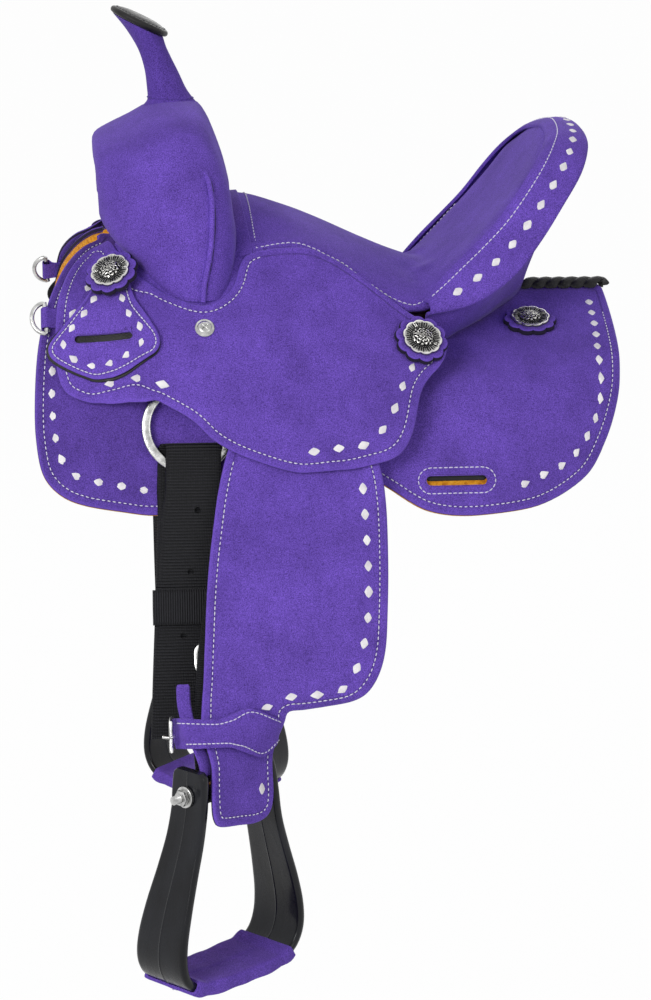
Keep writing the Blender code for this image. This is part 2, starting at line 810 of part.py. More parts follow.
# Breast collar dee at the front edge, hinged on its straight bar in a small leather tab
DEE_X = -238 * MM
DEE_S = 150 * MM
DEE_H = 4.2 * MM
dee_frame = spot(on_skirt, DEE_X, DEE_S, DEE_H)
dee_path = []
for k in range(9):
    a = math.radians(mix(-90, 90, k / 8))
    dee_path.append(dee_frame @ Vector((-11 * MM * math.cos(a), 13 * MM * math.sin(a), 0)))
both_sides("breast_dee", bar(dee_path, DEE_WIRE, 8, closed=True), STEEL, 0.25, 1.0)


def ribbon(path, thick, place, left, right):
    """Strap with its thickness across the path and its width from left to right."""
    rows = []
    for k, (v, h) in enumerate(path):
        a = path[max(k - 1, 0)]
        b = path[min(k + 1, len(path) - 1)]
        size = math.hypot(b[0] - a[0], b[1] - a[1])
        nv = -(b[1] - a[1]) / size * thick / 2
        nh = (b[0] - a[0]) / size * thick / 2
        rows.append([
            place(left(v), v + nv, h + nh),
            place(right(v), v + nv, h + nh),
            place(right(v), v - nv, h - nh),
            place(left(v), v - nv, h - nh),
        ])
    return skin(rows)


tab_path = [(26, 1.0), (9, 1.0), (4, 0.95)]
tab_path += [
    (-3.4 * math.sin(math.radians(a)), 4.2 - 3.4 * math.cos(math.radians(a)))
    for a in (15, 50, 90, 130, 165)
]
tab_path += [(1.5, 6.8), (4.5, 3.2), (7, 2.1), (26, 2.1)]
tab_path = in_metres(tab_path)
both_sides(
    "dee_tab",
    ribbon(
        tab_path, 0.8 * MM, lambda s, x, h: on_skirt(DEE_X + x, s, h),
        lambda x: DEE_S - 8 * MM, lambda x: DEE_S + 8 * MM,
    ),
    BLACK,
    0.6,
)

# Rigging ring, flat steel band lying against the skirt under the jockey
ring_rows = []
for k in range(32):
    a = 2 * math.pi * k / 32
    ring = []
    for r, h in (
        (RING_R - RING_BAND, 1.2 * MM), (RING_R - RING_BAND + 1.2 * MM, 0), (RING_R - 1.2 * MM, 0),
        (RING_R, 1.2 * MM), (RING_R, RING_THICK - 1.2 * MM), (RING_R - 1.2 * MM, RING_THICK),
        (RING_R - RING_BAND + 1.2 * MM, RING_THICK), (RING_R - RING_BAND, RING_THICK - 1.2 * MM),
    ):
        x = RING_X + r * math.cos(a)
        v = RING_V + r * math.sin(a)
        ring.append(in_side(x, v, RING_LOW + h))
    ring_rows.append(ring)
both_sides("rigging_ring", skin(ring_rows, ends=False), STEEL, 0.2, 1.0)


def fold(inner, end, low, high, thick, sign, near, far, closed):
    """Path of a strap folded over the ring band; its layers close up between near and far."""
    mid = 0.5 * (low + high)
    r = 0.5 * (high - low) - thick / 2
    path = [(end, closed[0]), (far, closed[0]), (near, low + thick / 2)]
    for k in range(0, 7):
        a = math.radians(180 * k / 6)
        path.append((inner + sign * r - sign * r * math.sin(a), mid - r * math.cos(a)))
    return path + [(near, high - thick / 2), (far, closed[1]), (end, closed[1])]


# Rigging strap: leather folded over the top of the ring and run up under the jockey
TOP_PATH = fold(
    RING_V + 19.3 * MM, RING_V + 68 * MM, -0.5 * MM, 8.5 * MM, 2.1 * MM, 1,
    RING_V + 41 * MM, RING_V + 52 * MM, (-0.1 * MM, 2.4 * MM),
)
both_sides(
    "rigging_strap",
    ribbon(
        TOP_PATH, 2.1 * MM, in_side, lambda v: RING_X - 21 * MM, lambda v: RING_X + 21 * MM
    ),
    PURPLE,
    0.9,
)

# Cinch strap: ribbed webbing folded over the bottom of the ring, both layers run down
LEAN = math.tan(math.radians(2.2))


def web_middle(v):
    return RING_X - 1 * MM + (v - RING_V) * LEAN


WEB_PATH = fold(
    RING_V - 13.5 * MM, WEB_END, -0.5 * MM, 8.5 * MM, WEB_THICK, -1,
    RING_V - 44 * MM, WEB_BEND, (1.7 * MM, 4.2 * MM),
)
# Below the skirt the strap hangs a little steeper than the fender
WEB_PATH = [
    (v, h - (0 if v > WEB_BEND - MM else WEB_INWARD)) for v, h in WEB_PATH
]
hole_tools = []
for v in (-149, -198, -249):
    middle = Vector((web_middle(v * MM), v * MM, 0))
    rows = []
    for h in (-6 * MM, 14 * MM):
        rows.append([
            in_side(
                middle.x + WEB_HOLE / 2 * math.cos(2 * math.pi * k / 10),
                middle.y + WEB_HOLE / 2 * math.sin(2 * math.pi * k / 10),
                h,
            )
            for k in range(10)
        ])
    hole_tools.append(skin(rows))
both_sides(
    "cinch_strap",
    ribbon(
        WEB_PATH, WEB_THICK, in_side,
        lambda v: web_middle(v) - WEB_WIDE / 2, lambda v: web_middle(v) + WEB_WIDE / 2,
    ),
    BLACK,
    0.7,
    holes=hole_tools,
    swing=CINCH_SWING,
)

# Moulded loop holding the two layers of webbing together
LOOP_V = -226 * MM
loop_x = web_middle(LOOP_V)
loop_rows = []
for grow, v in ((1.8, -14), (0, -14), (0, 14), (1.8, 14)):
    ring = []
    half_x = WEB_WIDE / 2 + (1.2 + grow) * MM
    for sx, sh in ((-1, -1), (1, -1), (1, 1), (-1, 1)):
        sink = WEB_INWARD * (WEB_BEND - LOOP_V - v * MM) / (WEB_BEND - WEB_END)
        h = 2.95 * MM - sink + sh * (2.9 + grow) * MM
        ring.append(in_side(loop_x + sx * half_x, LOOP_V + v * MM, h))
    loop_rows.append(ring)
both_sides("strap_loop", skin(loop_rows, ends=False), BLACK, 0.45, swing=CINCH_SWING)

# Fender, wide suede panel whose lower end turns to the front with the stirrup leather
FENDER_LINE = [
    (-58, -52), (-72, -58), (-84, -76), (-96, -106), (-103, -134), (-107, -158),
    (-111.5, -190), (-114.5, -221), (-117, -261), (-120, -300), (-128, -322),
    (-134, -344), (-135, -378), (-132, -394), (-122, -402), (-100, -404), (-81, -399),
    (-70, -384), (-68, -352), (-67, -322), (-60, -315), (-40, -314), (-22, -312), (-2, -308), (12, -299),
    (22, -284.5), (28, -264), (30.5, -233), (32, -193), (31.3, -144.5), (26, -112), (12, -84),
    (-6, -62), (-24, -52),
]
both_sides(
    "fender",
    sheet(
        in_metres(FENDER_LINE),
        in_leg,
        lambda x, v: FENDER_IN + 2 * MM * ease(290 * MM, 320 * MM, -v),
        lambda x, v: FENDER_IN + FENDER_THICK + 2 * MM * ease(290 * MM, 320 * MM, -v),
        (33, 14),
    ),
    PURPLE,
    0.9,
    swing=FENDER_SWING,
)

# Stirrup leather: runs down behind the fender, turns, and loops under the stirrup bolt
leather_path = []
for v in (-20, -70, -126, -182, -238, -294, -308, -322, -336, -350):
    level = mix(LEATHER_IN + STRAP_THICK / 2, LOOP_R, ease(284, 314, -v))
    leather_path.append((v * MM, level))
for k in range(9):
    a = math.radians(180 * k / 8)
    leather_path.append((BOLT_V - LOOP_R * math.sin(a), LOOP_R * math.cos(a)))
for v in (-350, -338, -326):
    leather_path.append((v * MM, -LOOP_R))


def leather_middle(v):
    return mix(TWIST_X, LEATHER_TOP_X, ease(-330 * MM, -10 * MM, v))


both_sides(
    "stirrup_leather",
    ribbon(
        leather_path, STRAP_THICK, in_leg,
        lambda v: leather_middle(v) - LEATHER_WIDE / 2,
        lambda v: leather_middle(v) + LEATHER_WIDE / 2,
    ),
    BLACK,
    0.7,
    swing=FENDER_SWING,
)

# Flat steel length buckle lying against the inside of the stirrup leather
BUCKLE_V = -268 * MM
buckle_x = leather_middle(BUCKLE_V) - 3 * MM
buckle_rows = []
for h, inset in ((0, 0), (2.2, 0), (2.2, 4.5), (0, 4.5)):
    ring = []
    for k in range(24):
        a = 2 * math.pi * k / 24
        ca = math.copysign(abs(math.cos(a)) ** 0.5, math.cos(a))
        sa = math.copysign(abs(math.sin(a)) ** 0.5, math.sin(a))
        ring.append(in_leg(
            buckle_x + (34 - inset) * MM * ca,
            BUCKLE_V + (14 - inset) * MM * sa,
            LEATHER_IN - GAP - 2.2 * MM + h * MM,
        ))
    buckle_rows.append(ring)
both_sides("length_buckle", skin(buckle_rows, ends=False), STEEL, 0.25, 1.0, swing=FENDER_SWING)

# Hobble strap: wraps fender end and leather above the stirrup, with a tongue to the front
HOBBLE_V = -333 * MM
hobble_rows = []
for grow, up in ((2.4, -1), (0, -1), (0, 1), (2.4, 1)):
    ring = []
    for k in range(28):
        a = 2 * math.pi * k / 28
        ca = math.copysign(abs(math.cos(a)) ** 0.34, math.cos(a))
        sa = math.copysign(abs(math.sin(a)) ** 0.42, math.sin(a))
        wide = 10 + 11 * math.exp(-((ca - 0.42) / 0.4) ** 2) * ease(0, 0.9, sa)
        ring.append(in_leg(
            TWIST_X + (39.5 + grow) * MM * ca,
            HOBBLE_V + up * wide * MM,
            3.9 * MM + (18.2 + grow) * MM * sa,
        ))
    hobble_rows.append(ring)
both_sides("hobble_strap", skin(hobble_rows, ends=False), PURPLE, 0.9, swing=FENDER_SWING)

# Roller buckle of the hobble strap, standing on its front edge
hobble_frame_path = []
for along, up in ((-1, -1), (1, -1), (1, 1), (-1, 1)):
    hobble_frame_path.append(in_leg(
        TWIST_X - 50.5 * MM + along * 6 * MM, HOBBLE_V + up * 12.5 * MM, 9 * MM,
    ))
hobble_wire = bar(hobble_frame_path, 1.6 * MM, 8, closed=True)
both_sides("hobble_buckle", hobble_wire, STEEL, 0.3, 1.0, swing=FENDER_SWING)

# Stirrup: one moulded band bent into a bell, hanging from a bolt turned to the front
bolt_middle = in_leg(TWIST_X, BOLT_V, 0)
bolt_axis = Vector((-math.cos(TWIST), -math.sin(TWIST), 0))
front = Vector((-bolt_axis.y, bolt_axis.x, 0))


def in_stirrup(a, f, w):
    return bolt_middle + bolt_axis * a + front * (f + STIRRUP_LEAN * w) + Vector((0, 0, w))


# Band line: (out from the middle, up, half width)
BAND = [
    (40, 17, 11), (40, 8, 16), (40.5, -12, 18), (44.5, -36, 19), (52, -62, 21), (60.5, -90, 24),
    (66, -114, 26), (66.5, -133, 27), (61, -147, 27), (50, -155, 27), (34, -158, 27), (12, -159, 27),
]
band_half = in_metres(BAND)
band_line = band_half + [(-a, w, half) for a, w, half in band_half[::-1]]
band_rows = []
for k, (a, w, half) in enumerate(band_line):
    before = band_line[max(k - 1, 0)]
    after = band_line[min(k + 1, len(band_line) - 1)]
    go = Vector((after[0] - before[0], after[1] - before[1])).normalized()
    thick = 3.6 * MM
    ring = []
    for f, t in ((-1, -0.6), (-1, 0.6), (-0.92, 1), (0.92, 1), (1, 0.6), (1, -0.6), (0.92, -1), (-0.92, -1)):
        ring.append(in_stirrup(a - go.y * t * thick, f * half, w + go.x * t * thick))
    band_rows.append(ring)
bolt_hole = [
    [
        in_stirrup(a, 5.3 * MM * math.cos(2 * math.pi * k / 16), 5.3 * MM * math.sin(2 * math.pi * k / 16))
        for k in range(16)
    ]
    for a in (-60 * MM, 60 * MM)
]
both_sides("stirrup", skin(band_rows), BLACK, 0.4, holes=[skin(bolt_hole)], swing=FENDER_SWING)

# Bolt with head, roller, washer and nut, turned as one piece
bolt_side = [
    (3.0, 59), (3.6, 58), (3.6, 52.5), (6.2, 52), (6.8, 51), (6.8, 47.4), (8.8, 47.0), (8.8, 44.3),
    (4.8, 44.0), (4.8, 35.6), (6.9, 35.2), (6.9, -35.2), (4.8, -35.6), (4.8, -44.0), (8.6, -44.3),
    (8.6, -47.5), (6.0, -49.5), (3.0, -50),
]
bolt_rows = []
for r, a in bolt_side:
    bolt_rows.append([
        in_stirrup(a * MM, r * MM * math.cos(math.pi * k / 6), r * MM * math.sin(math.pi * k / 6))
        for k in range(12)
    ])
both_sides("stirrup_bolt", skin(bolt_rows), STEEL, 0.3, 1.0, swing=FENDER_SWING)

# Suede sleeve round the tread
wrap_line = [row for row in band_line if row[1] < -151 * MM and abs(row[0]) < 56 * MM]
wrap_rows = []
for level in (GAP, GAP + 2.2 * MM):
    grid = []
    for k, (a, w, half) in enumerate(wrap_line):
        before = wrap_line[max(k - 1, 0)]
        after = wrap_line[min(k + 1, len(wrap_line) - 1)]
        go = Vector((after[0] - before[0], after[1] - before[1])).normalized()
        ring = []
        for f, t in ((-1, -0.8), (-1, 0.8), (-0.94, 1), (0.94, 1), (1, 0.8), (1, -0.8), (0.94, -1), (-0.94, -1)):
            thick = t * 3.6 * MM + math.copysign(level, t)
            ring.append(in_stirrup(
                a - go.y * thick, f * half + math.copysign(level, f), w + go.x * thick,
            ))
        grid.append(ring)
    wrap_rows.append(grid)
wrap_mesh = skin(wrap_rows[0] + wrap_rows[1][::-1], ends=False)
both_sides("tread_wrap", wrap_mesh, PURPLE, 0.9, swing=FENDER_SWING)

# Joint axes: every moving group hangs on an empty whose origin and z axis are its hinge


def hinge(stem, at, axis, pieces, swing=None):
    for name, place in (("left", Matrix.Identity(4)), ("right", right_place(swing))):
        pin = bpy.data.objects.new(f"{stem}_axis_{name}", None)
        pin.empty_display_size = 20 * MM
        turn = (place.to_3x3() @ axis).to_track_quat("Z", "X").to_matrix().to_4x4()
        pin.matrix_world = Matrix.Translation(place @ at) @ turn
        saddle.objects.link(pin)
        bpy.context.view_layer.update()
        for piece in pieces:
            child = bpy.data.objects[f"{piece}_{name}"]
            child.parent = pin
            child.matrix_parent_inverse = pin.matrix_world.inverted()


side_out = Vector((0, -SIN_SIDE, COS_SIDE))
hinge("fender", in_side(PIVOT_X, PIVOT_V, 0), side_out, (
    "fender", "stirrup_leather", "length_buckle", "hobble_strap", "hobble_buckle",
))
hinge("cinch", in_side(RING_X, RING_V, 0), side_out, ("cinch_strap", "strap_loop"))
hinge("stirrup", bolt_middle, bolt_axis, ("stirrup", "stirrup_bolt", "tread_wrap"), FENDER_SWING)
hinge("dee", dee_frame.translation, dee_frame.col[1].xyz, ("breast_dee",))
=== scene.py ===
# Barrel racing saddle for a child, finished in suede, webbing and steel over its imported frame.
# +X points to the rear, -Y to the horse's left side, +Z up, and every length is in metres.

import math
from functools import lru_cache

import bmesh
import bpy
import numpy as np
from mathutils import Matrix, Vector
from mathutils.bvhtree import BVHTree


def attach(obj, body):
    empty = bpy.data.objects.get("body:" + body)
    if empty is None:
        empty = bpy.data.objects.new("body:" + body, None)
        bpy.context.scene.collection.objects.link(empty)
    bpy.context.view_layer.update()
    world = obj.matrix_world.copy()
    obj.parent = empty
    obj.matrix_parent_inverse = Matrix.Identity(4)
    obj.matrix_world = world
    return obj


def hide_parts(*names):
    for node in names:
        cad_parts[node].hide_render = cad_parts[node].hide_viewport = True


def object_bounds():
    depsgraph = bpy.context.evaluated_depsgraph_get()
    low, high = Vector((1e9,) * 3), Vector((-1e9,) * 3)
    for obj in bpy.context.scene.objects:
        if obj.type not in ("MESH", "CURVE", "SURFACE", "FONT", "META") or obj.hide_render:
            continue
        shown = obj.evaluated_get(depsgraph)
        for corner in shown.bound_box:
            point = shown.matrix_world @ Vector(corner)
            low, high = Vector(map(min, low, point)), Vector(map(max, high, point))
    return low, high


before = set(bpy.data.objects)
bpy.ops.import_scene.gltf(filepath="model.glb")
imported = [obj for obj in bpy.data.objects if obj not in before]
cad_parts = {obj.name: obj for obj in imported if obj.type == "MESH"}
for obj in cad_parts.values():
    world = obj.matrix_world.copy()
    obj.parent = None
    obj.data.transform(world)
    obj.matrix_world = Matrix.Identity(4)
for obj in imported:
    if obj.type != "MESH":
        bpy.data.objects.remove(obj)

cad_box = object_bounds()
MM = 0.001

# The picture: the saddle hangs in an even white studio and is seen from its left side.
# The camera stands a little to the front and above, as in the photograph.
# The pale floor lies well below the stirrups, and the lamps are large and soft.
CAMERA_AWAY = 2.6
CAMERA_TURN = math.radians(5)
CAMERA_HIGH = math.radians(13)
CAMERA_AIM = Vector((0, 0, -0.1785))
PIXELS_PER_METRE = 1150
PICTURE_TALL = 1000
SENSOR_TALL = 36
FLOOR_DROP = 0.32
FLOOR_REACH = 60.0
FLOOR_WHITE = 0.975
SOFT_LIGHT = 0.46
LAMPS = [
    ("key_lamp", (-1.9, -2.6, 1.1), 1.5, 62),
    ("side_lamp", (1.9, -2.4, 0.7), 1.6, 14),
    ("top_lamp", (0.2, 0.4, 2.4), 1.8, 6),
    ("far_lamp", (0.4, 2.6, 1.0), 1.8, 12),
]


def linked(name, data):
    """New object with the data, put into the scene."""
    made = bpy.data.objects.new(name, data)
    bpy.context.scene.collection.objects.link(made)
    return made


look = Vector((
    math.sin(CAMERA_TURN) * math.cos(CAMERA_HIGH),
    math.cos(CAMERA_TURN) * math.cos(CAMERA_HIGH),
    -math.sin(CAMERA_HIGH),
))
view = bpy.data.cameras.new("camera")
view.sensor_fit = "VERTICAL"
view.sensor_height = SENSOR_TALL
view.lens = SENSOR_TALL * PIXELS_PER_METRE * CAMERA_AWAY / PICTURE_TALL
camera = linked("camera", view)
camera.location = CAMERA_AIM - look * CAMERA_AWAY
camera.rotation_euler = look.to_track_quat("-Z", "Y").to_euler()
bpy.context.scene.camera = camera
bpy.context.scene.view_settings.view_transform = "Standard"

for name, place, size, power in LAMPS:
    lamp = bpy.data.lights.new(name, "AREA")
    lamp.size = size
    lamp.energy = power
    holder = linked(name, lamp)
    holder.location = place
    holder.rotation_euler = (CAMERA_AIM - Vector(place)).to_track_quat("-Z", "Y").to_euler()


def add(tree, kind, settings=None, **inputs):
    """New node, its settings, and its inputs as values or links (spaces as underscores)."""
    node = tree.nodes.new(kind)
    for key, value in (settings or {}).items():
        setattr(node, key, value)
    for key, value in inputs.items():
        if key[0] == "n" and key[1:].isdigit():
            socket = node.inputs[int(key[1:])]
        else:
            socket = node.inputs[key.replace("_", " ")]
        if isinstance(value, bpy.types.NodeSocket):
            tree.links.new(value, socket)
        else:
            socket.default_value = value
    return node


def reckon(tree, operation, *values):
    """Result of one sum on values or links."""
    inputs = {f"n{k}": value for k, value in enumerate(values)}
    return add(tree, "ShaderNodeMath", {"operation": operation}, **inputs).outputs[0]


def seen_ray(tree):
    """One where the camera, a reflection or glass sees the surface."""
    path = add(tree, "ShaderNodeLightPath").outputs
    either = reckon(tree, "MAXIMUM", path["Is Camera Ray"], path["Is Glossy Ray"])
    return reckon(tree, "MAXIMUM", either, path["Is Transmission Ray"])


studio = bpy.data.worlds.new("studio")
bpy.context.scene.world = studio
studio.use_nodes = True
tree = studio.node_tree
tree.nodes.clear()
soft = add(tree, "ShaderNodeBackground", Color=(0.93, 0.95, 1.0, 1), Strength=SOFT_LIGHT)
white = add(tree, "ShaderNodeBackground", Color=(1, 1, 1, 1), Strength=1.0)
both = add(
    tree, "ShaderNodeMixShader",
    n0=seen_ray(tree), n1=soft.outputs[0], n2=white.outputs[0],
)
add(tree, "ShaderNodeOutputWorld", Surface=both.outputs[0])

pale = bpy.data.materials.new("pale_floor")
pale.use_nodes = True
tree = pale.node_tree
tree.nodes.clear()
matt = add(tree, "ShaderNodeBsdfDiffuse", Color=(0.82, 0.82, 0.82, 1))
bright = add(tree, "ShaderNodeEmission", Color=(1, 1, 1, 1), Strength=1.0)
share = reckon(tree, "MULTIPLY", seen_ray(tree), FLOOR_WHITE)
both = add(
    tree, "ShaderNodeMixShader",
    n0=share, n1=matt.outputs[0], n2=bright.outputs[0],
)
add(tree, "ShaderNodeOutputMaterial", Surface=both.outputs[0])

floor_mesh = bpy.data.meshes.new("floor")
floor_z = cad_box[0][2] - FLOOR_DROP
floor_mesh.from_pydata(
    [(x * FLOOR_REACH, y * FLOOR_REACH, floor_z) for x, y in ((-1, -1), (1, -1), (1, 1), (-1, 1))],
    [], [(0, 1, 2, 3)],
)
floor_mesh.materials.append(pale)
floor = linked("floor", floor_mesh)


# Tree: the wooden bars, fork and cantle that carry the saddle, almost all of it covered.
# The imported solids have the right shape, so they stay and get planed, lightly stained wood.
def new_finish(name, rough, **values):
    """Material with the tree, its shader and its place in the object."""
    finish = bpy.data.materials.new(name)
    finish.use_nodes = True
    tree = finish.node_tree
    shader = tree.nodes["Principled BSDF"]
    shader.inputs["Roughness"].default_value = rough
    for key, value in values.items():
        shader.inputs[key.replace("_", " ")].default_value = value
    place = add(tree, "ShaderNodeTexCoord").outputs["Object"]
    return finish, tree, shader, place


def ramp(tree, factor, *stops):
    """Colour ramp through (place, colour) stops."""
    node = add(tree, "ShaderNodeValToRGB", Fac=factor)
    line = node.color_ramp
    while len(line.elements) < len(stops):
        line.elements.new(0.5)
    for point, (at, colour) in zip(line.elements, stops):
        point.position = at
        point.color = (*colour, 1)
    return node.outputs["Color"]


def noise(tree, place, scale, detail=2.0, stretch=None):
    """Noise at so many cells a metre, stretched along an axis where given."""
    if stretch:
        place = add(tree, "ShaderNodeMapping", Vector=place, Scale=stretch).outputs[0]
    node = add(tree, "ShaderNodeTexNoise", Vector=place, Scale=scale, Detail=detail)
    return node.outputs["Fac"]


def tint(tree, colour, with_colour, share):
    """Colour mixed towards another by a factor."""
    node = add(tree, "ShaderNodeMix", {"data_type": "RGBA"}, n0=share, n6=colour, n7=with_colour)
    return node.outputs[2]


def raise_by(tree, shader, height, depth):
    """Bump of the given depth in metres, chained onto what is there."""
    node = add(tree, "ShaderNodeBump", Strength=1.0, Distance=depth, Height=height)
    link = shader.inputs["Normal"].links
    if link:
        tree.links.new(link[0].from_socket, node.inputs["Normal"])
    tree.links.new(node.outputs[0], shader.inputs["Normal"])


wood, tree, shader, place = new_finish("planed_wood", 0.62)
rings = add(
    tree, "ShaderNodeTexWave", {"wave_type": "BANDS", "bands_direction": "Y"},
    Vector=place, Scale=38.0, Distortion=6.0, Detail=3.0, Detail_Scale=1.4,
).outputs["Fac"]
pores = noise(tree, place, 420.0, 3.0, (0.12, 1, 1))
tone = ramp(tree, rings, (0.0, (0.36, 0.2, 0.09)), (0.55, (0.52, 0.33, 0.17)), (1, (0.6, 0.4, 0.22)))
tone = tint(tree, tone, (0.2, 0.11, 0.05, 1), ramp(tree, pores, (0.55, (0, 0, 0)), (0.75, (0.5, 0.5, 0.5))))
tree.links.new(tone, shader.inputs["Base Color"])
raise_by(tree, shader, pores, 0.3 * MM)
for name in ("tree_bar_left", "tree_bar_right", "tree_fork", "tree_cantle"):
    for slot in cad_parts[name].material_slots:
        slot.material = wood


# Skirts: two thick leather skirts faced with purple suede, one each side of the ridge.
# They are cut flat, wetted and moulded over the bars, then stitched near the edge.
# White lozenges are laced into the suede along the front and the rear.
SKIRT_THICK = 4.0 * MM
SEAM_IN = 7.0 * MM
ROLL = 0.7 * MM
THREAD = 0.5 * MM
STITCH = 4.3 * MM
LOZENGE_LONG = 12.0 * MM
LOZENGE_WIDE = 7.2 * MM
SKIRT_LACE_STEP = 17.5 * MM
SIDE_STEEP = math.radians(73)
TAN_SIDE = math.tan(SIDE_STEEP)
COS_SIDE = math.cos(SIDE_STEEP)
SIN_SIDE = math.sin(SIDE_STEEP)
SIDE_FOOT = 461.5 * MM
RIDGE_REAR = 9.0 * MM
RIDGE_RISE = 69.0 * MM
BEND = 16.0 * MM
SLOT_LONG = 50.0 * MM
SLOT_TALL = 8.0 * MM
SLOT_SEAM_R = 10.5 * MM
PURPLE = (0.127, 0.066, 0.40)
EDGE_BLACK = (0.018, 0.014, 0.03, 1)
PATCH_SCALE = 26.0
FUZZ_SCALE = 1300.0
BRUSH_SCALE = 150.0
FUZZ_DEEP = 0.16 * MM
BRUSH_DEEP = 0.2 * MM
SEAM_HALF = 1.3 * MM
SEAM_DEEP = 0.55 * MM
RUBBED_WIDE = 3.0 * MM
SHADED_FRONT = -190 * MM
SHADED_REAR = -110 * MM


def ease(a, b, v):
    """Soft step from nought at a to one at b."""
    t = min(1.0, max(0.0, (v - a) / (b - a)))
    return t * t * (3 - 2 * t)


def lower_of(a, b, k):
    """Lower of two heights, with a soft bend where they meet."""
    return 0.5 * (a + b) - math.sqrt(0.25 * (a - b) ** 2 + k * k)


def mix(a, b, t):
    return a + (b - a) * t


def smooth_line(points, steps, closed=False):
    """Smooth curve through the points. A point given as a list is a sharp corner."""
    out = []
    n = len(points)
    last = n if closed else n - 1
    for i in range(last):
        p1 = points[i]
        p2 = points[(i + 1) % n]
        p0 = points[i - 1] if closed or i > 0 else p1
        p3 = points[(i + 2) % n] if closed or i + 2 < n else p2
        sharp1 = isinstance(p1, list) or (not closed and i == 0)
        sharp2 = isinstance(p2, list) or (not closed and i == n - 2)
        for j in range(steps):
            t = j / steps
            row = []
            for a, b, c, d in zip(p0, p1, p2, p3):
                m1 = (c - b) if sharp1 else 0.5 * (c - a)
                m2 = (c - b) if sharp2 else 0.5 * (d - b)
                h1 = 2 * t ** 3 - 3 * t ** 2 + 1
                h2 = t ** 3 - 2 * t ** 2 + t
                h3 = -2 * t ** 3 + 3 * t ** 2
                h4 = t ** 3 - t ** 2
                row.append(h1 * b + h2 * m1 + h3 * c + h4 * m2)
            out.append(tuple(row))
    if not closed:
        out.append(tuple(points[-1]))
    return out


def in_metres(points):
    return [type(p)(c * MM for c in p) for p in points]


def end_pull(x):
    """How far the side is drawn in towards both ends."""
    rear = max(0.0, x - 120 * MM)
    front = max(0.0, -190 * MM - x)
    return 3.0 * rear * rear + 2.0 * front * front


def skirt_z(x, y, lift=0.0):
    """Height of the skirt's face: ridge, slope and steep side."""
    ridge = RIDGE_REAR + RIDGE_RISE * (1 - ease(-215 * MM, 70 * MM, x))
    slope = 0.36 + 0.09 * (1 - ease(-200 * MM, 100 * MM, x))
    top = ridge - slope * y + lift * math.sqrt(1 + slope * slope)
    side = SIDE_FOOT - TAN_SIDE * (y + end_pull(x)) + lift / COS_SIDE
    return lower_of(top, side, BEND)


@lru_cache(maxsize=None)
def cross_line(surface, x):
    """Lengths along the surface from the centre line outwards."""
    step = 1.5 * MM
    table = [(0.0, 0.0, surface(x, 0.0))]
    for k in range(1, 170):
        y = k * step
        z = surface(x, y)
        s0, y0, z0 = table[-1]
        table.append((s0 + math.hypot(y - y0, z - z0), y, z))
    return table


def laid(surface):
    """Place rule: (x, length from the centre line, height off the surface) to a point."""
    def place(x, s, h):
        table = cross_line(surface, round(x, 4))
        low = 0
        top = len(table) - 1
        while top - low > 1:
            half = (low + top) // 2
            if table[half][0] <= s:
                low = half
            else:
                top = half
        s0, y0 = table[low][:2]
        s1, y1 = table[top][:2]
        y = mix(y0, y1, (s - s0) / (s1 - s0))
        before = max(0.0, y - 2 * MM)
        fall = (surface(x, y + 2 * MM) - surface(x, before)) / (y + 2 * MM - before)
        size = math.hypot(1, fall)
        return Vector((x, -(y - fall / size * h), surface(x, y) + h / size))
    return place


on_skirt = laid(skirt_z)


def even(line, gap, closed):
    """The same line with points at even distances."""
    pts = np.array(line + line[:1] if closed else line, dtype=float)
    runs = np.concatenate([[0], np.cumsum(np.linalg.norm(np.diff(pts, axis=0), axis=1))])
    count = max(2, int(round(runs[-1] / gap)) + (0 if closed else 1))
    at = np.linspace(0, runs[-1], count + 1)[:-1] if closed else np.linspace(0, runs[-1], count)
    return list(zip(*[np.interp(at, runs, pts[:, k]) for k in range(pts.shape[1])]))


def off_line(points, line):
    """Least distance of each flat point from a closed flat line."""
    pts = np.array(points)[:, :2]
    a = np.array(line)[:, :2]
    go = np.roll(a, -1, axis=0) - a
    size = (go ** 2).sum(1)
    best = np.full(len(pts), 9.0)
    for start, along, length in zip(a, go, size):
        t = np.clip(((pts - start) @ along) / length, 0, 1)
        best = np.minimum(best, np.linalg.norm(pts - start - t[:, None] * along, axis=1))
    return best


def inset(line, away):
    """Closed flat line moved inwards, without the points that come too near another stretch."""
    pts = np.array(line)
    go = np.roll(pts, -1, axis=0) - np.roll(pts, 1, axis=0)
    go /= np.linalg.norm(go, axis=1)[:, None]
    x, y = pts.T
    turn = 1 if (x * np.roll(y, -1) - np.roll(x, -1) * y).sum() > 0 else -1
    moved = pts + np.stack([-go[:, 1], go[:, 0]], 1) * away * turn
    keep = off_line(moved, line) > 0.96 * away
    return [tuple(p) for p, ok in zip(moved, keep) if ok]


def outward_mesh(bm, name):
    """Mesh of the shape that was built, its faces turned outwards."""
    bmesh.ops.recalc_face_normals(bm, faces=bm.faces[:])
    if bm.calc_volume(signed=True) < 0:
        bmesh.ops.reverse_faces(bm, faces=bm.faces[:])
    mesh = bpy.data.meshes.new(name)
    bm.to_mesh(mesh)
    bm.free()
    return mesh


